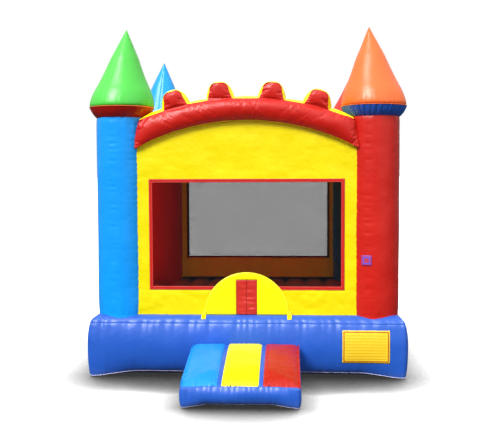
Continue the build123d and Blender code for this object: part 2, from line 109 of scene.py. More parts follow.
sky_links.new(path.outputs["Is Camera Ray"], which.inputs["Fac"])
sky_links.new(shine.outputs[0], which.inputs[1])
sky_links.new(backdrop.outputs[0], which.inputs[2])
sky_links.new(which.outputs[0], sky_nodes["World Output"].inputs["Surface"])
scene.world = sky

for name, strength, spread, elevation, bearing in (
    ("key_lamp", 3.55, 24.0, 43.0, -32.0),
    ("fill_lamp", 0.45, 60.0, 25.0, 40.0),
):
    lamp = bpy.data.lights.new(name, "SUN")
    lamp.energy = strength
    lamp.angle = radians(spread)
    lamp_object = bpy.data.objects.new(name, lamp)
    lamp_object.rotation_euler = (radians(90 - elevation), 0, radians(bearing))
    scene.collection.objects.link(lamp_object)

camera_data = bpy.data.cameras.new("front_view")
camera_data.sensor_width = 36.0
camera_data.lens = 56.86
camera = bpy.data.objects.new("front_view", camera_data)
view_place, view_yaw, view_pitch, view_roll = Vector((0.521, -11.506, 2.516)), 0.049, -0.0611, -0.0035
ahead = Vector((-sin(view_yaw) * cos(view_pitch), cos(view_yaw) * cos(view_pitch), sin(view_pitch)))
level = Vector((cos(view_yaw), sin(view_yaw), 0))
above = level.cross(ahead)
right = level * cos(view_roll) + above * sin(view_roll)
above = above * cos(view_roll) - level * sin(view_roll)
view_turn = Matrix((right, above, -ahead)).transposed().to_4x4()
camera.matrix_world = Matrix.Translation(view_place) @ view_turn
camera_data.clip_end = 1000
scene.collection.objects.link(camera)
scene.camera = camera
scene.view_settings.view_transform = "Standard"


# ---- Base skirt ----
# The side wall of the air-filled base: royal blue coated fabric, sewn to the deck above and to the ground
# sheet below. Air rounds it out between the two seams, and the stitching gathers it into short puckers.
class Value:
    """A shader socket that can be used in plain arithmetic."""

    def __init__(self, finish, socket):
        self.finish = finish
        self.socket = socket

    def maths(self, operation, *others):
        return self.finish.node("ShaderNodeMath", {"operation": operation}, [self, *others])

    def __add__(self, other):
        return self.maths("ADD", other)

    def __sub__(self, other):
        return self.maths("SUBTRACT", other)

    def __rsub__(self, other):
        return self.finish.node("ShaderNodeMath", {"operation": "SUBTRACT"}, [other, self])

    def __mul__(self, other):
        return self.maths("MULTIPLY", other)

    def __truediv__(self, other):
        return self.maths("DIVIDE", other)

    def __lt__(self, other):
        return self.maths("LESS_THAN", other)

    def __gt__(self, other):
        return self.maths("GREATER_THAN", other)

    __radd__ = __add__
    __rmul__ = __mul__


class Finish:
    """A material that is built node by node around one Principled shader."""

    def __init__(self, name):
        self.material = bpy.data.materials.new(name)
        self.material.use_nodes = True
        self.tree = self.material.node_tree
        self.shader = self.tree.nodes["Principled BSDF"]
        self.output = self.tree.nodes["Material Output"]
        self.place = self.node("ShaderNodeTexCoord", output="Object")
        self.across, self.along, self.height = self.parts(self.place)

    def node(self, kind, settings=None, inputs=(), output=0):
        """Adds a node. Settings come first, then values or links for its sockets, by number or name."""
        node = self.tree.nodes.new(kind)
        for key, value in (settings or {}).items():
            if key == "stops":
                ramp = node.color_ramp.elements
                while len(ramp) < len(value):
                    ramp.new(1.0)
                for stop, (position, shade) in zip(ramp, value):
                    stop.position = position
                    stop.color = (shade, shade, shade, 1.0)
            else:
                setattr(node, key, value)
        for key, value in inputs.items() if isinstance(inputs, dict) else enumerate(inputs):
            self.feed(node.inputs[key], value)
        return Value(self, node.outputs[output])

    def feed(self, socket, value):
        if isinstance(value, Value):
            self.tree.links.new(value.socket, socket)
        else:
            socket.default_value = value

    def parts(self, vector):
        split = self.node("ShaderNodeSeparateXYZ", None, [vector])
        outputs = split.socket.node.outputs
        return [Value(self, outputs[i]) for i in range(3)]

    def cloud(self, scale, detail=2.0, roughness=0.5, vector=None):
        """Soft noise, 0 to 1."""
        inputs = {"Vector": vector or self.place, "Scale": scale, "Detail": detail, "Roughness": roughness}
        return self.node("ShaderNodeTexNoise", None, inputs)

    def ramp(self, value, *stops):
        return self.node("ShaderNodeValToRGB", {"stops": stops}, [value])

    def mixed(self, amount, first, second, blend="MIX"):
        """Mixes two colours by an amount from 0 to 1."""
        settings = {"data_type": "RGBA", "blend_type": blend}
        return self.node("ShaderNodeMix", settings, {0: amount, 6: first, 7: second}, output=2)

    def bump(self, height, distance, strength=1.0, under=None):
        inputs = {"Strength": strength, "Distance": distance, "Height": height}
        if under:
            inputs["Normal"] = under
        return self.node("ShaderNodeBump", None, inputs)

    def paint(self, **sockets):
        """Sets or links the main shader's sockets, with _ for a space."""
        for name, value in sockets.items():
            self.feed(self.shader.inputs[name.replace("_", " ")], value)

    def thin(self, colour, share):
        """Lets a share of the light through, as a single layer of fabric does."""
        glow = self.node("ShaderNodeBsdfTranslucent", None, {"Color": colour})
        shader = Value(self, self.shader.outputs[0])
        both = self.node("ShaderNodeMixShader", None, [share, shader, glow])
        self.tree.links.new(both.socket, self.output.inputs["Surface"])


def shade(colour, factor):
    return (colour[0] * factor, colour[1] * factor, colour[2] * factor, 1.0)


def coated_fabric(name, colour, gloss=0.34, translucent=0.0, creases=1.0, mirror=0.38):
    """Glossy coated fabric: a fine scrim pressed into the coating, soft creases and a little dust."""
    finish = Finish(name)
    soft = finish.cloud(2.1, 3.0)
    patchy = finish.cloud(9.0, 4.0)
    colour_mix = finish.mixed(soft, shade(colour, 0.9), shade(colour, 1.06))
    dusty = (0.42, 0.42, 0.42, 1.0)
    near_ground = finish.ramp(finish.height * 2.2 + patchy * 0.25, (0.08, 0.10), (0.34, 0.0))
    worn = finish.ramp(finish.cloud(38.0, 6.0, 0.7), (0.66, 0.0), (0.8, 0.07))
    colour_mix = finish.mixed(near_ground, colour_mix, dusty)
    colour_mix = finish.mixed(worn, colour_mix, (0.8, 0.8, 0.8, 1.0))
    scrim_pitch = 0.0028
    sides = (finish.across, finish.along, finish.height)
    threads = [(side * (2 * pi / scrim_pitch)).maths("SINE") for side in sides]
    scrim = threads[0] + threads[1] + threads[2]
    folds = finish.cloud(3.3, 2.0, 0.4)
    surface = finish.bump(folds, 0.030 * creases, 0.55)
    surface = finish.bump(finish.cloud(21.0, 3.0), 0.004 * creases, 0.5, under=surface)
    surface = finish.bump(scrim, 0.00007, 0.5, under=surface)
    finish.paint(
        Base_Color=colour_mix,
        Roughness=patchy * 0.14 + (gloss - 0.07),
        Normal=surface,
        Specular_IOR_Level=mirror,
    )
    if translucent:
        finish.thin(shade(colour, 1.0 / max(colour)), translucent)
    return finish.material


royal_blue = (0.016, 0.100, 0.520)
royal_blue_fabric = coated_fabric("royal_blue_fabric", royal_blue, gloss=0.37, mirror=0.55)

body = "castle"
skirt_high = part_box("base_skirt")[1]
base_half = skirt_high[0]
deck_seam = skirt_high[2]
deck_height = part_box("base_deck")[1][2]
corner_radius = 0.07
tight_corner = 0.012  # corners never get rounder than this towards the middle


def base_path():
    """Walks once round the base. Each column is its side, its share along it and its corner angle."""
    columns = []
    per_side, per_corner = 300, 14
    for side in range(4):
        for i in range(per_side):
            columns.append((side, 2 * i / per_side - 1, 0.0))
        for i in range(per_corner):
            columns.append((side, 1.0, (pi / 2) * i / per_corner))
    return columns


base_columns = base_path()


def base_point(column, inset, height):
    """A point on the base: inset inwards from its widest outline, at a height."""
    side, share, turn = column
    radius = max(corner_radius - inset, tight_corner)
    straight = base_half - inset - radius
    x = share * straight + radius * sin(turn)
    y = -straight - radius * cos(turn)
    for _ in range(side):
        x, y = -y, x
    return (x, y, height)


def base_lengths():
    """How far along the base's outline each column lies, in metres."""
    points = np.array([base_point(c, 0.0, 0.0) for c in base_columns])
    steps = np.linalg.norm(np.roll(points, -1, axis=0) - points, axis=1)
    return np.concatenate([[0.0], np.cumsum(steps)[:-1]]), steps.sum()


def puckers(places, total, seed, pitch, depth, width, reach):
    """The gathers that a line of stitching pulls in. For each place along a seam of the given total
    length it gives how deep the fabric is pulled there, and how far from the seam that reaches."""
    draw = random.Random(seed)
    deep = np.zeros_like(places)
    far = np.zeros_like(places)
    weights = np.full_like(places, 1e-6)
    at = 0.0
    while at < total:
        at += pitch * draw.uniform(0.55, 1.5)
        wide = width * draw.uniform(0.6, 1.4)
        gap = np.abs(places - at)
        gap = np.minimum(gap, np.abs(total - gap))
        share = np.exp(-((gap / wide) ** 2))
        deep += depth * draw.uniform(0.35, 1.25) * share
        far += share * reach * draw.uniform(0.5, 1.6)
        weights += share
    return np.minimum(deep, 1.6 * depth), far / weights + 0.2 * reach


def new_piece(name, mesh, material=None):
    """Puts a mesh in the scene as a piece of its own."""
    if material:
        mesh.materials.append(material)
    piece = bpy.data.objects.new(name, mesh)
    scene.collection.objects.link(piece)
    return piece


def grid_piece(name, points, closed=False, material=None, cap=False):
    """A smooth quad mesh through rows of points. closed joins each row's end to its start."""
    points = np.asarray(points, dtype=np.float64)
    rows, columns = points.shape[:2]
    last = columns if closed else columns - 1
    row = np.arange(rows - 1)[:, None]
    column = np.arange(last)[None, :]
    a = row * columns + column
    b = row * columns + (column + 1) % columns
    quads = np.stack([a, b, b + columns, a + columns], axis=-1).reshape(-1, 4)
    faces = quads.tolist()
    if cap:
        faces.append(list(range((rows - 1) * columns, rows * columns)))
    mesh = bpy.data.meshes.new(name)
    mesh.from_pydata(points.reshape(-1, 3).tolist(), [], faces)
    mesh.shade_smooth()
    return new_piece(name, mesh, material)


def fit(piece, slot, *nodes, on=body):
    """Fixes a piece to its body and hides the plain nodes that it stands for. The slot is not used."""
    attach(piece, on)
    if nodes:
        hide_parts(*nodes)
    return piece


def smooth_step(x):
    x = min(max(x, 0.0), 1.0)
    return x * x * (3 - 2 * x)


seam_places, base_girth = base_lengths()
foot_lift = 0.048  # the foot seam rides this high between the corners
foot_reach = 0.55  # and comes down to the ground over this length beside a corner
foot_inset = 0.100  # between the corners the foot seam lies this far in
corner_foot_inset = 0.030
seam_inset = 0.046


def foot_height(column):
    """Height of the foot seam: up between the corners, down at each corner."""
    side, share, turn = column
    along = (1 - abs(share)) * base_half
    wave = 0.006 * noise.noise(Vector((share * 2.3, side * 7.1, 0.0)))
    return 0.006 + (foot_lift + wave) * smooth_step(along / foot_reach)


foot_heights = np.array([foot_height(c) for c in base_columns])
deck_gathers = puckers(seam_places, base_girth, 11, 0.118, 0.0140, 0.033, 0.150)
foot_gathers = puckers(seam_places, base_girth, 12, 0.19, 0.0070, 0.028, 0.11)


def between_corners(column):
    """0 at a corner of the base, 1 well away from it."""
    return smooth_step((1 - abs(column[1])) * base_half / foot_reach)


def foot_in(column):
    return corner_foot_inset + (foot_inset - corner_foot_inset) * between_corners(column)


def seam_in(column):
    return 0.030 + (seam_inset - 0.030) * between_corners(column)


def skirt_inset(column, height, foot):
    """How far the rounded side lies inside the base's widest outline."""
    widest = 0.390
    low = min(max((widest - height) / (widest - foot), 0.0), 1.0)
    high = max(height - widest, 0.0) / (deck_seam - widest)
    return foot_in(column) * (1 - sqrt(1 - 0.96 * low**2)) / 0.8 + seam_in(column) * high**2.2


def side_ripple(place, height):
    """Slow waves in a wide panel, in metres."""
    return 0.0035 * noise.noise(Vector((place * 2.6, height * 1.2, 3.3)))


anchor_height = 0.200
anchor_along = 1.50
anchor_places = {  # the side of the base, and the place along it
    "right_front": (1, -anchor_along), "right_rear": (1, anchor_along),
    "left_front": (3, -anchor_along), "left_rear": (3, anchor_along),
    "rear_left": (2, -anchor_along), "rear_right": (2, anchor_along),
}
zip_place, zip_foot, zip_head = 0.750, 0.130, 0.580


def patch_hold(column, height):
    """How far a sewn-on patch or the zip holds the fabric out flat, 0 to 1."""
    side, share, turn = column
    along = share * base_half * (1 if side in (0, 1) else -1)
    hold = 0.0
    for spot_side, spot in anchor_places.values():
        if side == spot_side and not turn:
            beside, above_it = (along - spot) / 0.13, (height - anchor_height) / 0.13
            hold = max(hold, exp(-(beside**4) - above_it**4))
    if side == 2 and not turn:
        middle, half = (zip_foot + zip_head) / 2, (zip_head - zip_foot) / 2
        beside, above_it = (along - zip_place) / 0.08, (height - middle) / (half + 0.06)
        hold = max(hold, exp(-(beside**4) - above_it**6))
    return hold


skirt_rows = 34
seam_groove, slack_inset = 0.004, 0.004
skirt = []
for r in range(skirt_rows + 1):
    share = 0.5 - 0.5 * cos(pi * r / skirt_rows)
    line = []
    for i, column in enumerate(base_columns):
        foot = foot_heights[i]
        height = foot + (deck_seam - foot) * share
        inset = skirt_inset(column, height, foot)
        for (deep, far), seam in ((deck_gathers, deck_seam), (foot_gathers, foot)):
            inset += deep[i] * exp(-abs(height - seam) / far[i])
        inset += seam_groove * exp(-(deck_seam - height) / 0.010)
        inset += slack_inset - side_ripple(seam_places[i], height)
        inset -= max(inset - 0.0008, 0.0) * patch_hold(column, height)
        line.append(base_point(column, inset, height))
    skirt.append(line)
base_side = grid_piece("base_side_skirt", skirt, True, royal_blue_fabric)
fit(base_side, "vinyl_royal_blue", "base_skirt")


# ---- Base deck ----
# The top edge of the base: royal blue fabric that turns over from the side and runs in to the jump floor.
# The stitching below it gathers this panel too.
deck = []
deck_turn, deck_inner = 0.135, 0.262
deck_steps = 14
for r in range(deck_steps + 8):
    t = min(r / deck_steps, 1.0)
    inward = max(r - deck_steps, 0) / 7
    line = []
    for i, column in enumerate(base_columns):
        height = deck_seam + (deck_height - deck_seam) * sin(pi / 2 * t)
        start = seam_in(column)
        inset = start + deck_turn * (0.35 * t + 0.65 * t * t) + (deck_inner - start - deck_turn) * inward
        inset += deck_gathers[0][i] * exp(-(height - deck_seam) / deck_gathers[1][i]) * (1 - inward)
        inset += seam_groove * exp(-(height - deck_seam) / 0.010) + slack_inset
        sink = 0.002 * noise.noise(Vector((seam_places[i] * 4.0, inset * 9.0, 8.0)))
        line.append(base_point(column, inset, height - 0.001 + sink * smooth_step(2 * t - 1)))
    deck.append(line)
base_deck = grid_piece("base_deck_edge", deck, True, royal_blue_fabric)
fit(base_deck, "vinyl_royal_blue", "base_deck")


# ---- Ground sheet ----
# The bottom of the base, in dark blue fabric. It hangs in a curve from the foot seam to the ground and
# lies flat under the rest. The seam is bound with a pale tape that shows as a thin line.
dark_blue = (0.030, 0.036, 0.21)
dark_blue_fabric = coated_fabric("dark_blue_fabric", dark_blue, gloss=0.42)
ground = []
for r in range(21):
    t = min(r / 12, 1.0)
    inward = max(r - 12, 0) / 8
    line = []
    for i, column in enumerate(base_columns):
        start = foot_in(column) + 0.002 + foot_gathers[0][i]
        inset = start + (0.210 - start) * t + 1.74 * inward
        height = foot_heights[i] * (1 - t) ** 2 + 0.0015
        line.append(base_point(column, inset, height))
    ground.append(line)
ground_piece = grid_piece("ground_sheet_panel", ground, True, dark_blue_fabric, cap=True)
fit(ground_piece, "vinyl_dark_blue", "ground_sheet")


def piping(name, line, radius, material, closed=True):
    """A round cord sewn into a seam, as a tube along a line of points."""
    points = np.array(line)
    if closed:
        ahead = np.roll(points, -1, axis=0) - np.roll(points, 1, axis=0)
    else:
        ahead = np.gradient(points, axis=0)
    ahead /= np.maximum(np.linalg.norm(ahead, axis=1), 1e-9)[:, None]
    upward = np.where(np.abs(ahead[:, 2:3]) > 0.9, [[0.0, 1.0, 0.0]], [[0.0, 0.0, 1.0]])
    side = np.cross(ahead, upward)
    side /= np.linalg.norm(side, axis=1)[:, None]
    top = np.cross(side, ahead)
    turns = np.arange(7) * 2 * pi / 6
    outward = np.cos(turns)[:, None, None] * side + np.sin(turns)[:, None, None] * top
    return grid_piece(name, points[None] + radius * outward, closed, material)


lavender_tape = coated_fabric("lavender_tape", (0.62, 0.62, 0.86), gloss=0.5)
foot_line = []
for i, column in enumerate(base_columns):
    foot_line.append(base_point(column, foot_in(column) + 0.001 + foot_gathers[0][i], foot_heights[i]))
fit(piping("base_foot_binding", foot_line, 0.0038, lavender_tape), "vinyl_royal_blue")


# ---- Jump floor ----
# The floor to jump on, maroon with a dark blue end at the front and rear. Ten inner baffles hold it down,
# so that it stands in eleven long ribs.
floor_half, rib_half = 1.718, 1.720
rib_count = 11
rib_pitch = 2 * rib_half / rib_count
maroon_half = 1.36
baffle_half, baffle_foot, baffle_head = 1.125, 0.004, 0.690
rib_depth, edge_depth = 0.055, 0.095
floor_rows = []
for r in range(91):
    y = -floor_half + 2 * floor_half * r / 90
    line = []
    for c in range(rib_count * 12 + 1):
        x = -floor_half + 2 * floor_half * c / (rib_count * 12)
        across = ((x + rib_half) / rib_pitch) % 1.0
        height = deck_height - rib_depth * abs(2 * across - 1) ** 2.6
        edge = max(1 - (floor_half - abs(y)) / 0.16, 0.0)
        height = min(height, deck_height - edge_depth * edge**2.2)
        height -= 0.004 * abs(noise.noise(Vector((x * 5, y * 9, 0.4)))) * (1 - edge)
        line.append((x, y, height - 0.001))
    floor_rows.append(line)
jump_floor = grid_piece("jump_floor_panel", floor_rows, False, dark_blue_fabric)
fit(jump_floor, "vinyl_dark_blue", "jump_floor")
maroon_fabric = coated_fabric("maroon_fabric", (0.260, 0.010, 0.022), gloss=0.42)
jump_floor.data.materials.append(maroon_fabric)
for face in jump_floor.data.polygons:
    face.material_index = int(abs(face.center.y) < maroon_half)

for i in range(1, rib_count):
    x = -rib_half + i * rib_pitch
    rows = []
    for r in range(9):
        z = baffle_foot + (baffle_head - baffle_foot) * r / 8
        slack = 0.012 * sin(pi * r / 8)
        lengths = np.linspace(-baffle_half, baffle_half, 25)
        rows.append([(x + slack * sin(y * 4.0 + i), y, z) for y in lengths])
    baffle = grid_piece(f"floor_baffle_{i}", rows, False, dark_blue_fabric)
    fit(baffle, "vinyl_dark_blue", "floor_baffles")


# ---- Corner towers ----
# Four air-filled columns, each a tube of coated fabric with four long seams. The stitching pulls short
# puckers along every seam, where the walls are sewn on, and round the foot.
tower_radius = 0.320
tower_axis = 1.575
tower_top = 3.200
red = (0.560, 0.012, 0.006)
light_blue = (0.003, 0.310, 0.900)
yellow = (0.985, 0.850, 0.0010)
red_fabric = coated_fabric("red_fabric", red, gloss=0.35)
light_blue_fabric = coated_fabric("light_blue_fabric", light_blue, gloss=0.30)
yellow_fabric = coated_fabric("yellow_fabric", yellow, gloss=0.40)


def around(centre, radius, turn, height):
    """A point round an upright axis. turn is 0 towards the entrance and grows towards the right."""
    return (centre[0] + radius * sin(turn), centre[1] - radius * cos(turn), height)


def turn_gap(turn, other):
    """The angle between two turns, the short way, with its sign."""
    return (turn - other + pi) % (2 * pi) - pi


def tower_shape(centre, seam_turn, seed):
    """Rows of points round a tower, from inside the deck to the collar."""
    columns = 168
    girth = 2 * pi * tower_radius
    heights = np.arange(0.62, tower_top + 0.001, 0.0172)
    into = Vector((-centre[0], -centre[1])).normalized()
    inward = atan2(into.x, -into.y)
    walls = [inward - pi / 2, inward + pi / 2]
    lines = [(seam_turn + k * pi / 2, 0.0035, 0.110, 0.0070, 0.045) for k in range(4)]
    lines += [(turn, 0.0040, 0.090, 0.0070, 0.055) for turn in walls]
    runs = []
    for k, (turn, groove, pitch, depth, reach) in enumerate(lines):
        pulled, _ = puckers(heights, 99.0, seed * 10 + k, pitch, depth, 0.014, 0.05)
        stronger = 0.55 + 0.45 * (heights - 0.75) / 2.45
        runs.append((turn, groove, pulled * stronger, reach))
    places = np.arange(columns) * 2 * pi / columns
    spots = places * tower_radius
    foot_pull, foot_far = puckers(spots, girth, seed * 10 + 8, 0.085, 0.006, 0.014, 0.07)
    head_pull, head_far = puckers(spots, girth, seed * 10 + 9, 0.070, 0.005, 0.013, 0.06)
    rows = []
    for h, height in enumerate(heights):
        line = []
        for c, turn in enumerate(places):
            spot = Vector((centre[0] + 1.5 * sin(turn), centre[1] + 1.5 * cos(turn), height * 1.6))
            radius = tower_radius + 0.002
            radius += 0.0045 * noise.noise(spot)
            for seam, groove, pulled, reach in runs:
                away = abs(turn_gap(turn, seam)) * tower_radius
                radius -= groove * exp(-((away / 0.010) ** 2)) + pulled[h] * exp(-away / reach)
            if height < 1.2:
                radius -= (foot_pull[c] + 0.006) * exp(-abs(height - deck_height) / foot_far[c])
            if height > 2.8:
                radius -= (head_pull[c] + 0.007) * exp(-(tower_top - height) / head_far[c])
            line.append(around(centre, radius, turn, height))
        rows.append(line)
    return rows


towers = {}
for name, x, y, seam, fabric, slot in (
    ("front_left", -1, -1, -12.0, light_blue_fabric, "vinyl_light_blue"),
    ("front_right", 1, -1, -17.0, red_fabric, "vinyl_red"),
    ("rear_left", -1, 1, 10.0, red_fabric, "vinyl_red"),
    ("rear_right", 1, 1, 33.0, light_blue_fabric, "vinyl_light_blue"),
):
    centre = (x * tower_axis, y * tower_axis)
    rows = tower_shape(centre, radians(seam), 20 + len(towers))
    towers[name] = centre
    tower = fit(grid_piece(name + "_tower_tube", rows, True, fabric), slot, name + "_tower")


# ---- Collars ----
# A short band sewn between each tower and its roof cone, wider at the top. It is cut too long on purpose
# and gathered into pleats, close ones on the blue bands and a few shallow ones on the dark red bands.
collar_top = 3.330
rim_radius = 0.405
dark_red = (0.420, 0.008, 0.004)
dark_red_fabric = coated_fabric("dark_red_fabric", dark_red, gloss=0.36)
for name, fabric, slot, pleats, pleat_depth, seed in (
    ("front_left", dark_red_fabric, "vinyl_dark_red", 26, 0.0045, 1),
    ("front_right", royal_blue_fabric, "vinyl_royal_blue", 40, 0.0210, 2),
    ("rear_left", royal_blue_fabric, "vinyl_royal_blue", 40, 0.0210, 3),
    ("rear_right", dark_red_fabric, "vinyl_dark_red", 26, 0.0045, 4),
):
    draw = random.Random(seed)
    folds = np.cumsum([draw.uniform(0.7, 1.3) for _ in range(pleats)])
    folds *= 2 * pi / folds[-1]
    rows = []
    for r in range(19):
        share = r / 18
        line = []
        for c in range(pleats * 10):
            turn = 2 * pi * c / (pleats * 10)
            fold = int(np.searchsorted(folds, turn + 1e-9)) % pleats
            start = folds[fold - 1] if fold else 0.0
            within = (turn - start) / max(folds[fold] - start, 1e-6)
            deep = pleat_depth * (0.6 + 0.4 * sin(fold * 2.7 + seed))
            radius = tower_radius - 0.004 + (rim_radius - tower_radius + 0.002) * share**0.85
            radius += deep * (sin(pi * within) ** 0.8 - 0.6) * (0.55 + 0.45 * sin(pi * share))
            radius += 0.006 * sin(pi * share)
            height = tower_top - 0.004 + (collar_top - tower_top) * share
            line.append(around(towers[name], radius, turn, height))
        rows.append(line)
    collar = fit(grid_piece(name + "_collar_band", rows, True, fabric), slot, name + "_collar")


# ---- Roof cones ----
# A pointed air-filled roof on each tower, in four gores, with a rounded shoulder. The seam round its rim is
# gathered and bound with orange tape. Its tip leans a little towards the middle of the house, apart from
# the rear right one, which leans outwards.
cone_tip = 4.310
shoulder_radius, shoulder_centre = 0.540, -0.135
green = (0.070, 0.570, 0.058)
orange = (0.900, 0.150, 0.022)
green_fabric = coated_fabric("green_fabric", green, gloss=0.31, creases=0.35, mirror=0.5)
orange_fabric = coated_fabric("orange_fabric", orange, gloss=0.33, creases=0.35, mirror=0.5)
tip_reach = hypot(shoulder_centre, cone_tip - collar_top)
touch_turn = atan2(cone_tip - collar_top, -shoulder_centre) - acos(shoulder_radius / tip_reach)
touch_radius = shoulder_centre + shoulder_radius * cos(touch_turn)
touch_height = shoulder_radius * sin(touch_turn)


def cone_radius(rise):
    """Radius of the roof at a height above its rim: a round shoulder, then straight to the tip."""
    if rise < touch_height:
        return shoulder_centre + sqrt(shoulder_radius**2 - rise**2)
    return touch_radius * (cone_tip - collar_top - rise) / (cone_tip - collar_top - touch_height)


for name, fabric, slot, seed, lumps, tip_lean in (
    ("front_left", green_fabric, "vinyl_green", 31, 0.004, 0.057),
    ("front_right", orange_fabric, "vinyl_orange", 32, 0.009, 0.057),
    ("rear_left", light_blue_fabric, "vinyl_light_blue", 33, 0.005, 0.057),
    ("rear_right", red_fabric, "vinyl_red", 34, 0.005, -0.100),
):
    x, y = towers[name]
    columns = 160
    rim_girth = 2 * pi * rim_radius
    rim_places = np.arange(columns) * rim_girth / columns
    rim_pull, rim_far = puckers(rim_places, rim_girth, seed, 0.062, 0.006, 0.012, 0.050)
    rises = [-0.012, -0.006] + list(np.linspace(0.0, 0.14, 16)) + list(np.linspace(0.152, 0.975, 76))
    rows = []
    for rise in rises:
        upward = max(rise, 0.0)
        lean = tip_lean * upward / 0.98
        middle = (x - lean * (1 if x > 0 else -1), y - lean * (1 if y > 0 else -1))
        line = []
        for c in range(columns):
            turn = 2 * pi * c / columns
            full = cone_radius(upward) - 0.016 * sin(pi * min(upward / 0.62, 1.0))
            radius = full - 0.020 * exp(-upward / 0.012) + 0.003 - (0.014 if rise < 0 else 0.0)
            radius -= rim_pull[c] * exp(-upward / rim_far[c])
            swell = noise.noise(Vector((seed + 1.3 * sin(turn), 1.3 * cos(turn), rise * 3.2)))
            radius += lumps * swell * min(full / 0.15, 1.0)
            for gore in range(4):
                away = abs(turn_gap(turn, gore * pi / 2 + seed)) * full
                ripple = 0.5 + 0.5 * noise.noise(Vector((gore * 9.0, seed, rise * 26.0)))
                radius -= 0.0035 * exp(-((away / 0.009) ** 2)) * min(full / 0.1, 1.0)
                radius -= 0.0045 * ripple * exp(-away / 0.040) * min(full / 0.2, 1.0)
            line.append(around(middle, max(radius, 0.004), turn, collar_top + rise))
        rows.append(line)
    cone = fit(grid_piece(name + "_roof_cone", rows, True, fabric, cap=True), slot, name + "_cone")
    rim_line = [around((x, y), 0.402, 2 * pi * i / 120, collar_top - 0.003) for i in range(120)]
    fit(piping(name + "_roof_rim_tape", rim_line, 0.0055, orange_fabric), "vinyl_orange")


# ---- Front arch beam ----
# An air-filled beam with four battlements, sewn from a red face, a red back and a gusset between them, which
# is yellow with red ends. It is sewn into the towers and to the wall below. Where the outline turns inwards
# at a battlement, the skin can't lie flat, so it wrinkles away from the corner.
beam_thickness = 0.300
battlement_height = 0.214
battlement_foot, battlement_head, battlement_round = 0.150, 0.106, 0.072
battlement_turns = [radians(a) for a in (-15.4, -5.6, 5.6, 15.4)]
wall_plane = 1.800
wall_end = tower_axis - sqrt(tower_radius**2 - (wall_plane - tower_axis) ** 2)
beam_foot = 2.820
arch_rise = 0.325
arch_inner = (wall_end**2 + arch_rise**2) / (2 * arch_rise)
arch_outer = arch_inner + beam_thickness + 0.014  # the stitching draws it back in by this much
arch_centre = beam_foot + arch_rise - arch_inner
beam_end, beam_end_below = 1.330, 1.380


def spaced(points, step):
    """Points along a line of straight stretches, evenly spaced within each stretch."""
    out = []
    for (x0, z0), (x1, z1) in zip(points, points[1:]):
        count = max(1, round(hypot(x1 - x0, z1 - z0) / step))
        out += [(x0 + (x1 - x0) * i / count, z0 + (z1 - z0) * i / count) for i in range(count)]
    return out + [points[-1]]


def round_arc(centre, radius, start, end, step):
    """Points on an arc. Angles run clockwise from straight up."""
    count = max(2, round(abs(end - start) * radius / step))
    turns = [start + (end - start) * i / count for i in range(count + 1)]
    return [(centre[0] + radius * sin(t), centre[1] + radius * cos(t)) for t in turns]


def battlement_outline(turn, step):
    """One battlement from its left foot over the rounded head to its right foot, in place."""
    head = battlement_height
    r = battlement_round
    lean = (battlement_foot - battlement_head) / head
    shoulder = head - r
    side = battlement_head + lean * r
    local = [(-battlement_foot, 0.0), (-side, shoulder)]
    for i in range(1, 7):
        a = pi / 2 * i / 6
        local.append((-side + (r + lean * r * 0.2) * (1 - cos(a)), shoulder + r * sin(a)))
    local += [(-x, z) for x, z in reversed(local)]
    out = []
    for x, z in local:
        radius = arch_outer + z
        across = radius * sin(turn) + x * cos(turn)
        out.append((across, arch_centre + radius * cos(turn) - x * sin(turn)))
    return spaced(out, step)


def arch_outline(battlements, step):
    """The arch seen from the front, clockwise from its left end: over the top, then back underneath."""
    middle = (0.0, arch_centre)
    outer_end = asin(beam_end / arch_outer)
    inner_end = asin(beam_end_below / arch_inner)
    at = -outer_end
    half_foot = asin(battlement_foot / arch_outer)
    outline = []
    for turn in battlements:
        outline += round_arc(middle, arch_outer, at, turn - half_foot, step)[:-1]
        outline += battlement_outline(turn, step)[:-1]
        at = turn + half_foot
    outline += round_arc(middle, arch_outer, at, outer_end, step)
    under = round_arc(middle, arch_inner, inner_end, -inner_end, step)
    right_end = spaced([outline[-1], under[0]], step)[:-1]
    left_end = spaced([under[-1], outline[0]], step)[:-1]
    return outline[:-1] + right_end + under[:-1] + left_end


def flat_panel(outline, step):
    """Cuts a flat panel inside an outline into even triangles: its points and its faces."""
    edge = np.array(outline)
    low, high = edge.min(axis=0), edge.max(axis=0)
    inside = []
    row_height = step * sqrt(3) / 2
    for j in range(int((high[1] - low[1]) / row_height) + 1):
        shift = step / 2 if j % 2 else 0.0
        for i in range(int((high[0] - low[0]) / step) + 1):
            inside.append((low[0] + i * step + shift, low[1] + j * row_height))
    inside = np.array(inside)
    clear = np.full(len(inside), 1e9)
    for point in edge:
        clear = np.minimum(clear, np.hypot(*(inside - point).T))
    inside = inside[clear > 0.62 * step]
    points = [Vector(p) for p in outline] + [Vector(p) for p in inside.tolist()]
    ring = list(range(len(outline)))
    out = delaunay_2d_cdt(points, [], [ring], 1, 1e-7)
    used = sorted({v for face in out[2] for v in face})
    new = {v: i for i, v in enumerate(used)}
    kept_ring = [new[i] for i in ring]
    return [out[0][v][:] for v in used], [[new[v] for v in face] for face in out[2]], kept_ring


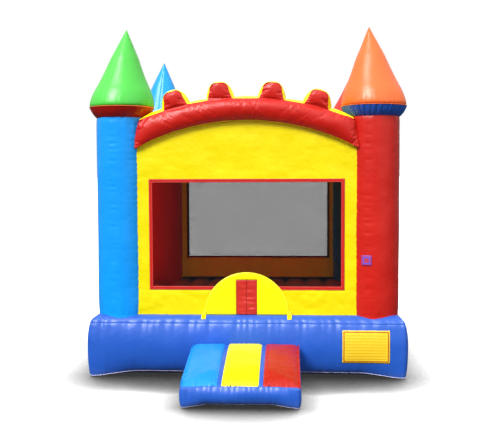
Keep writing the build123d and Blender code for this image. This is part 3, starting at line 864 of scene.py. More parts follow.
def sewn_shell(name, outline, step, depth, place):
    """A closed shell: two flat panels with a gusset between them. place turns (u, v, w) into x, y, z, with
    w from 0 at the first panel to 1 at the second. Returns the piece and its seams, and marks each face with
    its part."""
    points, faces, ring = flat_panel(outline, step)
    count = len(points)
    rows = max(2, round(depth / step))
    verts = [place(u, v, 0.0) for u, v in points] + [place(u, v, 1.0) for u, v in points]
    rings = [ring]
    for k in range(1, rows):
        start = len(verts)
        verts += [place(points[i][0], points[i][1], k / rows) for i in ring]
        rings.append(list(range(start, start + len(ring))))
    rings.append([i + count for i in ring])
    all_faces = [face for face in faces] + [[v + count for v in reversed(face)] for face in faces]
    parts = [0] * len(faces) + [2] * len(faces)
    for near, far in zip(rings, rings[1:]):
        for i in range(len(ring)):
            j = (i + 1) % len(ring)
            all_faces.append([near[i], near[j], far[j], far[i]])
            parts.append(1)
    mesh = bpy.data.meshes.new(name)
    mesh.from_pydata(verts, [], all_faces)
    piece = new_piece(name, mesh)
    mark = mesh.attributes.new("part", "INT", "FACE")
    mark.data.foreach_set("value", parts)
    check = bmesh.new()
    check.from_mesh(mesh)
    bmesh.ops.recalc_face_normals(check, faces=check.faces)
    if check.calc_volume(signed=True) < 0:
        bmesh.ops.reverse_faces(check, faces=check.faces)
    check.to_mesh(mesh)
    check.free()
    return piece, rings[0] + rings[-1]


def inflate(piece, pressure, held=(), seams=(), gather=0.0, limit=0.1, frames=20, stiff=18.0, bend=0.6):
    """Fills a shell with air: a cloth simulation under pressure, with the held points kept in place and
    the seams drawn in. No point ends up further than limit from where it started."""
    mesh = piece.data
    fixed = piece.vertex_groups.new(name="held")
    fixed.add(list(held), 1.0, "REPLACE")
    drawn = piece.vertex_groups.new(name="seams")
    drawn.add(list(seams), 1.0, "REPLACE")
    air = piece.modifiers.new("air", "CLOTH")
    cloth = air.settings
    cloth.quality = 6
    cloth.mass = 0.25
    cloth.air_damping = 2.0
    cloth.tension_stiffness = cloth.compression_stiffness = stiff
    cloth.shear_stiffness = stiff * 0.4
    cloth.bending_stiffness = bend
    cloth.tension_damping = cloth.compression_damping = 8.0
    cloth.vertex_group_mass = "held"
    cloth.vertex_group_shrink = "seams"
    cloth.shrink_min = 0.0
    cloth.shrink_max = gather
    cloth.use_pressure = True
    cloth.uniform_pressure_force = pressure
    cloth.effector_weights.gravity = 0.0
    air.collision_settings.use_collision = False
    air.point_cache.frame_start = 1
    air.point_cache.frame_end = frames
    start = np.empty(len(mesh.vertices) * 3)
    mesh.vertices.foreach_get("co", start)
    for number in range(1, frames + 1):
        scene.frame_set(number)
    blown = piece.evaluated_get(bpy.context.evaluated_depsgraph_get()).to_mesh()
    end = np.empty_like(start)
    blown.vertices.foreach_get("co", end)
    piece.modifiers.remove(air)
    piece.vertex_groups.clear()
    move = (end - start).reshape(-1, 3)
    length = np.maximum(np.linalg.norm(move, axis=1), 1e-9)
    move *= (np.minimum(length, limit) / length)[:, None]
    mesh.vertices.foreach_set("co", start + move.ravel())
    mesh.update()
    scene.frame_set(1)


def take_part(shell, number, name, material):
    """Takes one panel off a blown-up shell as a piece of its own, with its skin smoothed."""
    mesh = shell.data.copy()
    part = bmesh.new()
    part.from_mesh(mesh)
    layer = part.faces.layers.int["part"]
    bmesh.ops.delete(part, geom=[f for f in part.faces if f[layer] != number], context="FACES")
    part.to_mesh(mesh)
    part.free()
    mesh.attributes.remove(mesh.attributes["part"])
    mesh.name = name
    mesh.shade_smooth()
    piece = new_piece(name, mesh, material)
    smoother = piece.modifiers.new("smooth_skin", "SUBSURF")
    smoother.levels = smoother.render_levels = 1
    smoother.boundary_smooth = "ALL"
    return piece


def sewn_arch(side, battlements):
    """Builds one arch beam and fits its three panels. side is front or rear."""
    low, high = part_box(f"{side}_arch_face")
    outward = -1 if side == "front" else 1
    face_y = low[1] if side == "front" else high[1]
    back_y = face_y - outward * beam_thickness

    def place(u, v, w):
        return (u, face_y + (back_y - face_y) * w, v)

    outline = arch_outline(battlements, arch_mesh)
    shell, seams = sewn_shell(side + "_arch", outline, arch_mesh, beam_thickness, place)
    held = []
    for point in shell.data.vertices:
        x, y, z = point.co
        under = hypot(x, z - arch_centre) < arch_inner + 0.004
        inside_tower = hypot(abs(x) - tower_axis, abs(y) - tower_axis) < tower_radius - 0.01
        if inside_tower or (under and abs(y - outward * wall_plane) < 0.013):
            held.append(point.index)
    inflate(shell, arch_pressure, held, seams, gather=0.065, limit=0.080, bend=0.25)
    for number, part, fabric, slot in (
        (0, "face", red_fabric, "vinyl_red"),
        (1, "gusset", yellow_fabric, "vinyl_yellow"),
        (2, "back", red_fabric, "vinyl_red"),
    ):
        panel = take_part(shell, number, f"{side}_arch_{part}_panel", fabric)
        if part == "gusset":
            panel.data.materials.append(red_fabric)
            for face in panel.data.polygons:
                face.material_index = int(abs(face.center.x) > beam_end - 0.022)
        fit(panel, slot, f"{side}_arch_{part}")
    bpy.data.objects.remove(shell)


arch_mesh = 0.0175  # the length of a mesh edge
arch_pressure = 6.0
sewn_arch("front", battlement_turns)
sewn_arch("rear", [])


# ---- Side beams ----
# The two straight air beams along the top of the side walls, yellow, square with rounded edges. Each is
# four strips sewn together, gathered a little along the seams and sewn into a tower at both ends.
beam_half = 0.150
beam_axis_x, beam_axis_z = 1.710, 2.970
for sign, name in ((-1, "left"), (1, "right")):
    columns = 72
    lengths = np.linspace(-1.42, 1.42, 150)
    pulls = [puckers(lengths + 1.42, 99.0, 50 + k + sign, 0.085, 0.0065, 0.014, 0.05)[0] for k in range(4)]
    rows = []
    for i, y in enumerate(lengths):
        near_tower = exp(-(1.36 - min(abs(y), 1.36)) / 0.05)
        line = []
        for c in range(columns):
            turn = 2 * pi * c / columns
            across, upward = cos(turn), sin(turn)
            full = (abs(across) ** 3.4 + abs(upward) ** 3.4) ** (-1 / 3.4)
            radius = beam_half * full + 0.004 * noise.noise(Vector((turn, y * 1.7, sign * 4.0)))
            for k in range(4):
                away = abs(turn_gap(turn, pi / 4 + k * pi / 2)) * 0.17
                radius -= 0.004 * exp(-((away / 0.010) ** 2)) + pulls[k][i] * exp(-away / 0.045)
            radius -= near_tower * (0.010 + 0.006 * sin(turn * 11))
            line.append((sign * beam_axis_x + radius * across, y, beam_axis_z + radius * upward))
        rows.append(line)
    beam = grid_piece(name + "_side_beam_tube", rows, True, yellow_fabric)
    fit(beam, "vinyl_yellow", name + "_side_beam")


# ---- Walls ----
# Single sheets of coated fabric stretched between the towers, from the base up into the beams. The front
# and rear walls have a window opening each, and the front wall the doorway. Light glows through them. The
# rear wall is a warmer yellow than the front one. The warmth is painted red light, standing in for the red
# glow that the red walls and floor throw on it inside the house.
window_half, window_sill, window_head = 1.187, 1.082, 2.413
door_half, door_head = 0.130, 1.185
wall_foot = 0.742
seam_foot, seam_head = 1.062, 2.447  # two rows of stitching, below and above the window
wall_overlap = 0.02  # how far the sheets run on into the towers
side_wall_top = 2.840
# Painted red light: the rear wall's yellow is warmed to stand in for the red light thrown on it inside the
# house.
yellow_with_painted_red_light = (0.93, 0.62, 0.004)
wall_look = {"gloss": 0.34, "creases": 1.7, "mirror": 0.40}
yellow_wall_fabric = coated_fabric("yellow_wall_fabric", yellow, translucent=0.16, **wall_look)
rear_wall_fabric_painted_red_light = coated_fabric("rear_wall_fabric_painted_red_light", yellow_with_painted_red_light, translucent=0.10, **wall_look)
red_wall_fabric = coated_fabric("red_wall_fabric", red, gloss=0.40, translucent=0.72, creases=1.2)


def lines_through(stops, pitch):
    """Even grid lines between stops, with a line on every stop."""
    out = [stops[0]]
    for low, high in zip(stops, stops[1:]):
        count = max(1, round((high - low) / pitch))
        out += [low + (high - low) * (i + 1) / count for i in range(count)]
    return out


def panel(name, across, upward, place, material, hole=None):
    """A sheet on a grid, without the cells whose middle lies in a hole."""
    verts, faces = [], []
    wide = len(across)
    for j, v in enumerate(upward):
        verts += [place(u, v) for u in across]
    for j in range(len(upward) - 1):
        for i in range(wide - 1):
            middle = ((across[i] + across[i + 1]) / 2, (upward[j] + upward[j + 1]) / 2)
            if not (hole and hole(*middle)):
                a = j * wide + i
                faces.append((a, a + 1, a + 1 + wide, a + wide))
    mesh = bpy.data.meshes.new(name)
    mesh.from_pydata(verts, [], faces)
    tidy = bmesh.new()
    tidy.from_mesh(mesh)
    bmesh.ops.delete(tidy, geom=[v for v in tidy.verts if not v.link_faces], context="VERTS")
    tidy.to_mesh(mesh)
    tidy.free()
    mesh.shade_smooth()
    return new_piece(name, mesh, material)


def wall_crease(u, v, seed):
    """Slow waves, slanting pull lines and small crumples low down in a stretched sheet, in metres."""
    wave = 0.010 * noise.noise(Vector((u * 1.1, v * 0.9, seed)))
    pull = 0.0080 * noise.noise(Vector((u * 2.2 + v * 1.6, (v - u) * 0.45, seed + 5)))
    crumple = abs(noise.noise(Vector((u * 6.5 + v * 3.0, (v - u * 0.5) * 5.0, seed + 9))))
    return wave + pull + 0.016 * crumple * smooth_step((1.25 - v) / 0.25)


def wall_top(x):
    return arch_centre + sqrt(arch_inner**2 - x * x) + 0.006


for sign, name in ((-1, "front"), (1, "rear")):

    def wall_place(u, v):
        z = v
        if v > window_head:
            z = window_head + (v - window_head) * (wall_top(u) - window_head) / (beam_foot - window_head)
        out = wall_crease(u, z, sign * 3.0)
        clear = min(wall_end - abs(u), z - deck_height, wall_top(u) - z, 0.25) / 0.25
        frame_gap = max(abs(u) - window_half, window_sill - z, z - window_head)
        clear *= min(max(frame_gap, 0.0) / 0.12, 1.0)
        seam = sum(0.0025 * exp(-(((z - level) / 0.006) ** 2)) for level in (seam_head, seam_foot))
        lean = 0.0015 if frame_gap < 0.03 else 0.0
        return (u, sign * (wall_plane + out * max(clear, 0.0) - seam - lean), z)

    def wall_hole(u, v):
        in_window = abs(u) < window_half and window_sill < v < window_head
        return in_window or (sign < 0 and abs(u) < door_half and v < window_sill)

    right_stops = [door_half, window_half, wall_end + wall_overlap]
    across = lines_through([-stop for stop in reversed(right_stops)] + right_stops, 0.019)
    level_stops = [wall_foot, seam_foot, window_sill, window_head, seam_head, beam_foot]
    upward = lines_through(level_stops, 0.019)
    wall_fabric = yellow_wall_fabric if sign < 0 else rear_wall_fabric_painted_red_light
    wall = panel(name + "_wall_sheet", across, upward, wall_place, wall_fabric, wall_hole)
    fit(wall, "vinyl_yellow", name + "_wall")
    wall_top(0) - deck_height

for sign, name in ((-1, "left"), (1, "right")):

    def side_place(u, v):
        clear = min(wall_end - abs(u), v - deck_height, beam_foot - v, 0.3) / 0.3
        out = wall_crease(u, v, sign * 7.0) * 1.6 + 0.012
        return (sign * (wall_plane + out * max(clear, 0.0)), u, v)

    across = lines_through([-wall_end - wall_overlap, 0.0, wall_end + wall_overlap], 0.024)
    upward = lines_through([wall_foot, side_wall_top], 0.024)
    wall = panel(name + "_wall_sheet", across, upward, side_place, red_wall_fabric)
    fit(wall, "vinyl_red", name + "_wall")


# ---- Window netting ----
# Knotless black netting behind each window, sewn on just outside the opening. The threads cover about half
# of the front one and more of the rear one. The doorway is cut out of the front one.
netting_pitch = 0.0052
net_half, net_foot, net_head = 1.205, 1.064, 2.431


def netting_finish(name, thread_share):
    finish = Finish(name)
    threads = []
    for side in (finish.across, finish.height):
        threads.append((side / netting_pitch).maths("FRACT") < thread_share)
    covered = threads[0].maths("MAXIMUM", threads[1])
    worn = finish.cloud(140.0, 2.0)
    finish.paint(
        Base_Color=finish.mixed(worn, (0.003, 0.003, 0.0035, 1.0), (0.008, 0.008, 0.009, 1.0)),
        Roughness=worn * 0.2 + 0.6,
        Alpha=covered,
        Specular_IOR_Level=0.05,
    )
    return finish.material


for sign, name, net_threads in ((-1, "front", 0.31), (1, "rear", 0.46)):
    netting_black = netting_finish(name + "_black_netting", net_threads)

    def net_place(u, v):
        sag = 0.004 * noise.noise(Vector((u * 1.3, v * 1.3, sign * 2.0)))
        clear = min(net_half - abs(u), v - net_foot, net_head - v, 0.2) / 0.2
        return (u, sign * (wall_plane - 0.0022 - abs(sag) * max(clear, 0.0)), v)

    def net_hole(u, v):
        return sign < 0 and abs(u) < door_half and v < door_head

    across = lines_through([-net_half, -door_half, door_half, net_half], 0.03)
    upward = lines_through([net_foot, door_head, net_head], 0.03)
    netting = panel(name + "_netting_sheet", across, upward, net_place, netting_black, net_hole)
    fit(netting, "netting_black", name + "_window_netting")


# ---- Window binding ----
# A red tape, 44 mm wide, sewn round each window over the raw edge of the wall, with a row of pale
# stitches near both of its edges. The front one stops on both sides of the doorway.
binding_outer, binding_bottom, binding_top = 1.209, 1.060, 2.435
binding_fabric = coated_fabric("binding_fabric", red, gloss=0.42, creases=0.4)
stitch_thread = coated_fabric("stitch_thread", (0.78, 0.40, 0.38), gloss=0.5, creases=0.1)


def stitch_row(points, outward, pitch, length, width, closed=False):
    """Short raised stitches along a run of straight stretches: corner points and faces."""
    verts, faces = [], []
    outward = Vector(outward)
    runs = list(zip(points, points[1:] + points[:1])) if closed else list(zip(points, points[1:]))
    for start, end in runs:
        start, end = Vector(start), Vector(end)
        ahead = (end - start).normalized()
        side = ahead.cross(outward) * width / 2
        count = int((end - start).length / pitch)
        for i in range(count):
            middle = start + ahead * pitch * (i + 0.5)
            tip = ahead * length / 2
            crown = middle + outward * width * 0.5
            first = len(verts)
            rim = (middle - tip, middle + side, middle + tip, middle - side)
            verts += [tuple(p) for p in (*rim, crown)]
            faces += [(first + k, first + (k + 1) % 4, first + 4) for k in range(4)]
    return verts, faces


def stitches(name, rows, thread=stitch_thread):
    """One piece of all the stitches in some rows."""
    verts, faces = [], []
    for row_verts, row_faces in rows:
        start = len(verts)
        verts += row_verts
        faces += [tuple(v + start for v in face) for face in row_faces]
    mesh = bpy.data.meshes.new(name)
    mesh.from_pydata(verts, [], faces)
    return new_piece(name, mesh, thread)


def clear_doorway(piece):
    """Cuts away what would cross the doorway. The half moon covers the cut ends."""
    cut = bmesh.new()
    cut.from_mesh(piece.data)
    crossing = []
    for face in cut.faces:
        middle = face.calc_center_median()
        if middle.y < 0 and abs(middle.x) < door_half + 0.022 and middle.z < door_head:
            crossing.append(face)
    bmesh.ops.delete(cut, geom=crossing, context="FACES")
    cut.to_mesh(piece.data)
    cut.free()
    return piece


for sign, name in ((-1, "front"), (1, "rear")):
    bands = []
    for inset, lift in ((0.0, 0.0), (0.001, 0.0022), (0.006, 0.0030), (0.014, 0.0022), (0.022, 0.0028),
                        (0.030, 0.0022), (0.038, 0.0030), (0.043, 0.0022), (0.044, 0.0)):
        x, low, high = binding_outer - inset, binding_bottom + inset, binding_top - inset
        corners = [(-x, low), (x, low), (x, high), (-x, high), (-x, low)]
        ring = []
        for (x0, z0), (x1, z1) in zip(corners, corners[1:]):
            for i in range(60):
                u, v = x0 + (x1 - x0) * i / 60, z0 + (z1 - z0) * i / 60
                ripple = 0.0006 * noise.noise(Vector((u * 16, v * 16, sign)))
                ring.append((u, sign * (wall_plane + 0.0015 + lift + ripple), v))
        bands.append(ring)
    binding = clear_doorway(grid_piece(name + "_window_tape", bands, True, binding_fabric))
    fit(binding, "binding_red", name + "_window_binding")
    rows = []
    for inset in (0.006, 0.038):
        x, low, high = binding_outer - inset, binding_bottom + inset, binding_top - inset
        y = sign * (wall_plane + 0.0046)
        corners = [(-x, y, low), (x, y, low), (x, y, high), (-x, y, high)]
        rows.append(stitch_row(corners, (0, sign, 0), 0.0150, 0.0100, 0.0034, closed=True))
    fit(clear_doorway(stitches(name + "_window_stitches", rows)), "binding_red")


# ---- Doorway ----
# A half moon of doubled yellow fabric stiffens the doorway. Two narrow red flaps hang in it, each sewn on
# along its outer edge, and two short tabs beside it tie the wall down to the base.
half_moon_radius = 0.530
moon_plane = wall_plane + 0.0046


def thicken(piece, thickness):
    """Turns a sheet into cloth with two faces and an edge."""
    cloth = piece.modifiers.new("cloth_thickness", "SOLIDIFY")
    cloth.thickness = thickness
    cloth.offset = 0.0
    return piece


half_moon_fabric = coated_fabric("half_moon_fabric", yellow, gloss=0.34, creases=0.7)
moon_outline = round_arc((0.0, deck_height), half_moon_radius, -pi / 2, pi / 2, 0.018)
door_edge = [(half_moon_radius, deck_height), (door_half, deck_height), (door_half, door_head)]
door_edge += [(-door_half, door_head), (-door_half, deck_height), (-half_moon_radius, deck_height)]
moon_outline = moon_outline[:-1] + spaced(door_edge, 0.018)[:-1]
points, faces, _ = flat_panel(moon_outline, 0.018)
verts = []
for u, v in points:
    rim = half_moon_radius - hypot(u, v - deck_height)
    door_gap = max(abs(u) - door_half, v - door_head)
    swell = 0.005 * smooth_step(min(rim, door_gap) / 0.10)
    crease = 0.0022 * noise.noise(Vector((u * 7 + v * 5, v * 3, 1.0)))
    seam = sum(0.0016 * exp(-(((gap - 0.014) / 0.004) ** 2)) for gap in (rim, door_gap))
    verts.append((u, -(moon_plane + swell + crease * min(rim / 0.06, 1.0) - seam), v))
moon_mesh = bpy.data.meshes.new("entrance_half_moon_panel")
moon_mesh.from_pydata(verts, [], faces)
moon_mesh.shade_smooth()
half_moon = new_piece("entrance_half_moon_panel", moon_mesh, half_moon_fabric)
fit(thicken(half_moon, 0.003), "vinyl_yellow", "entrance_half_moon")
arc_end = pi / 2 - 0.01
arc_points = round_arc((0.0, deck_height), half_moon_radius - 0.012, -arc_end, arc_end, 0.05)
arc_line = [(u, -moon_plane - 0.0025, v) for u, v in arc_points]
moon_row = stitch_row(arc_line, (0, -1, 0), 0.016, 0.009, 0.003)
yellow_thread = coated_fabric("yellow_thread", (0.95, 0.82, 0.30), gloss=0.5, creases=0.1)
fit(stitches("half_moon_stitches", [moon_row], yellow_thread), "vinyl_yellow")

flap_fabric = coated_fabric("flap_fabric", red, gloss=0.40, creases=1.6, mirror=0.75)
flap_foot, flap_long = 0.755, 0.426
flap_hinge, flap_edge = 0.126, 0.0018
for sign, name in ((-1, "left"), (1, "right")):
    rows = []
    for r in range(61):
        z = flap_foot + flap_long * r / 60
        line = []
        for c in range(21):
            share = c / 20
            x = sign * (flap_hinge + (flap_edge - flap_hinge) * share)
            slack = smooth_step(share / 0.5) * (1 - 0.6 * (z - flap_foot) / flap_long)
            fold = 0.0075 * noise.noise(Vector((x * 5, z * 22, sign * 2.0)))
            fold += 0.0050 * noise.noise(Vector((x * 9 + z * 12, z * 9, sign * 5.0)))
            line.append((x, -1.8075 - max(fold + 0.0015, -0.001) * slack * 1.6, z))
        rows.append(line)
    flap = thicken(grid_piece(f"entrance_flap_{name}_sheet", rows, False, flap_fabric), 0.0024)
    fit(flap, "vinyl_red", f"entrance_flap_{name}", on=f"entrance_flap_{name}")


def ray_target(piece):
    """A search tree of a piece's finished surface, to lay other pieces on it."""
    bpy.context.view_layer.update()
    mesh = piece.evaluated_get(bpy.context.evaluated_depsgraph_get()).to_mesh()
    verts = [v.co[:] for v in mesh.vertices]
    return BVHTree.FromPolygons(verts, [face.vertices[:] for face in mesh.polygons])


tab_x, tab_half = 0.530, 0.0275
deck_surface = ray_target(base_deck)
for sign, name in ((-1, "left"), (1, "right")):
    route = []
    for y in np.linspace(1.902, 1.825, 9):
        hit = deck_surface.ray_cast(Vector((sign * tab_x, -y, 1.0)), Vector((0, 0, -1)))[0]
        route.append((y, (hit.z if hit else deck_seam + 0.012) + 0.0035))
    route += [(1.814, 0.7575), (1.8120, 0.7650), (1.8110, 0.775), (1.8105, 0.790)]
    rows = []
    for y, z in route:
        rows.append([(sign * tab_x + u * tab_half, -y, z + 0.0012 * sin(u * 3.0))
                     for u in np.linspace(-1, 1, 9)])
    tab = thicken(grid_piece(f"wall_tie_tab_{name}", rows, False, yellow_wall_fabric), 0.003)
    fit(tab, "vinyl_yellow", "wall_tie_tabs")


# ---- Roof cover ----
# A single sheet of yellow fabric laid over the house from one side beam to the other. Webbing strips under
# its two edges fasten it down.
roof_half, roof_radius, roof_centre = 1.557, 3.547, -0.187
roof_y = 1.555
roof_turn = asin(roof_half / roof_radius)
rows = []
for y in np.linspace(-roof_y, roof_y, 84):
    line = []
    for turn in np.linspace(-roof_turn, roof_turn, 96):
        x = roof_radius * sin(turn)
        hold = min((roof_half - abs(x)) / 0.4, (roof_y - abs(y)) / 0.3, 1.0)
        sag = 0.020 * noise.noise(Vector((x * 0.9, y * 1.5, 2.0)))
        sag += 0.010 * noise.noise(Vector((x * 3, y * 1.2, 9.0)))
        line.append((x, y, roof_centre + roof_radius * cos(turn) + (sag - 0.012) * hold))
    rows.append(line)
roof = thicken(grid_piece("roof_cover_sheet", rows, False, yellow_wall_fabric), 0.003)
fit(roof, "vinyl_yellow", "roof_cover")


def webbing(name, tint, rib=0.0018):
    """Woven strap: fine ribs across it, faintly worn."""
    finish = Finish(name)
    ribs = (finish.height + finish.across + finish.along) * (2 * pi / rib)
    worn = finish.cloud(30.0, 4.0)
    finish.paint(
        Base_Color=finish.mixed(worn, shade(tint, 0.7), shade(tint, 1.7)),
        Roughness=worn * 0.2 + 0.55,
        Normal=finish.bump(ribs.maths("SINE"), 0.0005, 0.7),
    )
    return finish.material


black_webbing = webbing("black_webbing", (0.012, 0.012, 0.014))
strip_wide, strip_half_long = 0.050, 1.540
strip_radius = roof_radius - 0.0035
for sign, name in ((-1, "left"), (1, "right")):
    rows = []
    for y in np.linspace(-strip_half_long, strip_half_long, 60):
        line = []
        for u in np.linspace(0.0, 1.0, 7):
            t = roof_turn - u * strip_wide / roof_radius
            line.append((sign * strip_radius * sin(t), y, roof_centre + strip_radius * cos(t)))
        rows.append(line)
    strip = grid_piece(f"roof_fastening_strip_{name}", rows, False, black_webbing)
    fit(strip, "webbing_black", "roof_fastening_strips")


# ---- Entrance step ----
# A small air cushion in front of the doorway, higher at the base than at its front. Its sides round out
# between the foot seam, which lifts between the corners, and the top seam, which is gathered.
step_half, step_back, step_front = 0.660, -1.980, -3.250
step_half_long = (step_back - step_front) / 2
step_middle = (step_back + step_front) / 2
step_rear_top, step_front_top = 0.440, 0.243
step_corner, step_top_seam = 0.045, 0.022
step_crown, step_corner_drop = 0.026, 0.020


def step_top(y):
    share = (step_back - y) / (step_back - step_front)
    return step_rear_top + (step_front_top - step_rear_top) * share


def step_point(column, inset, height_at):
    """A point of the step, inset from its outline. height_at gives its height from its y."""
    side, share, turn = column
    radius = max(step_corner - inset, tight_corner)
    half_wide = step_half - inset - radius
    half_long = step_half_long - inset - radius
    across, out = (half_wide, half_long) if side in (0, 2) else (half_long, half_wide)
    x, y = share * across + radius * sin(turn), -out - radius * cos(turn)
    for _ in range(side):
        x, y = -y, x
    return (x, step_middle + y, height_at(step_middle + y))


step_columns = []
for side in range(4):
    step_columns += [(side, 2 * i / 96 - 1, 0.0) for i in range(96)]
    step_columns += [(side, 1.0, pi / 2 * i / 10) for i in range(10)]
step_outline = np.array([step_point(c, 0.0, lambda y: 0.0) for c in step_columns])
step_strides = np.linalg.norm(np.roll(step_outline, -1, axis=0) - step_outline, axis=1)
step_places = np.concatenate([[0.0], np.cumsum(step_strides)[:-1]])
step_head_pulls = puckers(step_places, step_strides.sum(), 81, 0.062, 0.0100, 0.013, 0.055)
step_foot_pulls = puckers(step_places, step_strides.sum(), 82, 0.120, 0.0060, 0.020, 0.050)
step_inner = [smooth_step((1 - abs(c[1])) * step_half / 0.30) for c in step_columns]
step_feet = [0.005 + 0.030 * free + 0.004 * noise.noise(Vector((place * 3.0, 4.0, 0.0)))
             for free, place in zip(step_inner, step_places)]
step_side_rows = 26
rows = []
for r in range(step_side_rows + 1):
    share = 0.5 - 0.5 * cos(pi * r / step_side_rows)
    line = []
    for i, column in enumerate(step_columns):
        low = max(1 - share / 0.55, 0.0)
        high = max(share - 0.55, 0.0) / 0.45
        inset = (0.020 + 0.030 * step_inner[i]) * (1 - sqrt(1 - 0.96 * low**2)) / 0.8
        inset += (0.008 + step_top_seam * step_inner[i]) * high**2.2
        foot = step_feet[i]
        depth = step_top(step_point(column, 0.0, step_top)[1]) - step_top_seam - foot
        inset += step_foot_pulls[0][i] * exp(-share * depth / step_foot_pulls[1][i])
        inset += step_head_pulls[0][i] * exp(-(1 - share) * depth / step_head_pulls[1][i])
        inset += 0.002 + 0.003 * noise.noise(Vector((step_places[i] * 3.0, share * 2.0, 6.0)))
        drop = step_top_seam + step_corner_drop * (1 - step_inner[i])

        def side_height(y):
            return foot + (step_top(y) - drop - foot) * share

        line.append(step_point(column, inset, side_height))
    rows.append(line)
step_sides = grid_piece("step_side_strip", rows, True, royal_blue_fabric)
fit(step_sides, "vinyl_royal_blue", "step_body")
foot_ring = rows[0]
fit(piping("step_foot_binding", foot_ring, 0.0034, lavender_tape), "vinyl_royal_blue")
rows = []
step_rings = (0.0, 0.004, 0.010, 0.018, 0.028, 0.040, 0.06, 0.09, 0.14, 0.20, 0.28, 0.36, 0.44, 0.52, 0.58)
for inward in step_rings:
    line = []
    for i, column in enumerate(step_columns):
        start = 0.010 + step_top_seam * step_inner[i] + step_head_pulls[0][i] * exp(-inward / 0.05)
        rise = step_top_seam * (1 - exp(-inward / 0.030)) + step_crown * smooth_step(inward / 0.40)
        rise -= step_corner_drop * (1 - step_inner[i]) * (1 - smooth_step(inward / 0.15))

        def top_height(y):
            return step_top(y) - step_top_seam + rise

        line.append(step_point(column, start + inward, top_height))
    rows.append(line)
step_piece = grid_piece("step_top_panel", rows, True, royal_blue_fabric, cap=True)
fit(step_piece, "vinyl_royal_blue", "step_body")
rows = []
for t in np.linspace(0.0, 1.0, 12):
    inner = 1 - 0.16 * t
    rows.append([(x * inner, step_middle + (y - step_middle) * inner, z * (1 - t) ** 2 + 0.001)
                 for x, y, z in foot_ring])
step_bottom = grid_piece("step_bottom_panel", rows, True, dark_blue_fabric, cap=True)
fit(step_bottom, "vinyl_royal_blue", "step_body")


# ---- Step pads ----
# Three padded strips of light blue, yellow and red fabric, quilted onto the step from back to front, with
# channels between them. They are stitched down all round, and gather most at their front ends.
pad_half_width, pad_back, pad_front = 0.200, -2.020, -3.210
pad_thickness = 0.026
pad_crown_reach = 0.140  # a pad rises over this distance from its stitching
# The blue and red pads use darker copies of the light blue and red. This is painted shade, to take back the
# extra light that falls on their tops.
pad_red_painted_shade, pad_blue_painted_shade = (0.420, 0.009, 0.005), (0.003, 0.255, 0.800)
pad_red_painted_shade_fabric = coated_fabric("pad_red_painted_shade_fabric", pad_red_painted_shade, gloss=0.36)
pad_blue_painted_shade_fabric = coated_fabric("pad_blue_painted_shade_fabric", pad_blue_painted_shade, gloss=0.34)
step_surface = ray_target(step_piece)
for x_middle, fabric, slot, colour_word in (
    (-0.447, pad_blue_painted_shade_fabric, "vinyl_light_blue", "blue"),
    (0.0, yellow_fabric, "vinyl_yellow", "yellow"),
    (0.447, pad_red_painted_shade_fabric, "vinyl_red", "red"),
):
    seed = int(x_middle * 100)
    ends = np.linspace(-pad_half_width, pad_half_width, 37)
    end_pull = puckers(ends + pad_half_width, 9.0, seed + 90, 0.045, 0.020, 0.011, 0.06)[0]
    lengths = np.linspace(pad_front, pad_back, 103)
    side_pulls = [puckers(lengths - pad_front, 9.0, seed + 60 + k, 0.080, 0.006, 0.014, 0.05)[0]
                  for k in range(2)]
    rows = []
    for j, y in enumerate(lengths):
        line = []
        for i, u in enumerate(ends):
            x = x_middle + u
            hit = step_surface.ray_cast(Vector((x, y, 2.0)), Vector((0, 0, -1)))[0]
            ground_height = hit.z if hit else step_top(y)
            side_gap = pad_half_width - abs(u)
            front_gap, back_gap = y - pad_front, pad_back - y
            gap = min(side_gap, front_gap, back_gap)
            crown = min(gap / pad_crown_reach, 1.0)
            height = pad_thickness * sqrt(max(1 - (1 - crown) ** 2, 0.0))
            height -= end_pull[i] * exp(-front_gap / 0.085) * min(gap / 0.01, 1.0)
            height -= end_pull[-i] * 0.6 * exp(-back_gap / 0.045) * min(gap / 0.01, 1.0)
            height -= side_pulls[int(u > 0)][j] * exp(-side_gap / 0.040) * min(gap / 0.01, 1.0)
            height += 0.003 * noise.noise(Vector((x * 5, y * 3, 1.0))) * crown
            line.append((x, y, ground_height + max(height, -0.001) + 0.0012))
        rows.append(line)
    pad = grid_piece(f"step_pad_{colour_word}_cushion", rows, False, fabric)
    fit(pad, slot, "step_pad_" + colour_word)


# ---- Placard and tower patch ----
# A blank amber card with a dark orange frame and faint rules, sewn to the front of the base, and a small
# violet patch with a red middle on the front right tower.
card_x, card_z, card_half_wide, card_half_high = 1.460, 0.390, 0.2875, 0.200


def placard_finish():
    finish = Finish("amber_card")
    x = (finish.across - card_x).maths("ABSOLUTE")
    z = (finish.height - card_z).maths("ABSOLUTE")
    edge = (card_half_wide - x).maths("MINIMUM", card_half_high - z)
    lines = (edge > 0.013) * (edge < 0.027)
    rules = ((finish.height - 0.2) / 0.036).maths("FRACT") < 0.22
    rules = rules * (edge > 0.045) * 0.5
    worn = finish.cloud(14.0, 4.0)
    card = finish.mixed(worn, (0.93, 0.56, 0.010, 1.0), (0.90, 0.66, 0.035, 1.0))
    ink = finish.mixed(worn, (0.42, 0.10, 0.008, 1.0), (0.52, 0.15, 0.010, 1.0))
    finish.paint(
        Base_Color=finish.mixed(lines.maths("MAXIMUM", rules), card, ink),
        Roughness=worn * 0.15 + 0.38,
        Normal=finish.bump(worn, 0.004, 0.4),
        Specular_IOR_Level=0.35,
    )
    return finish.material


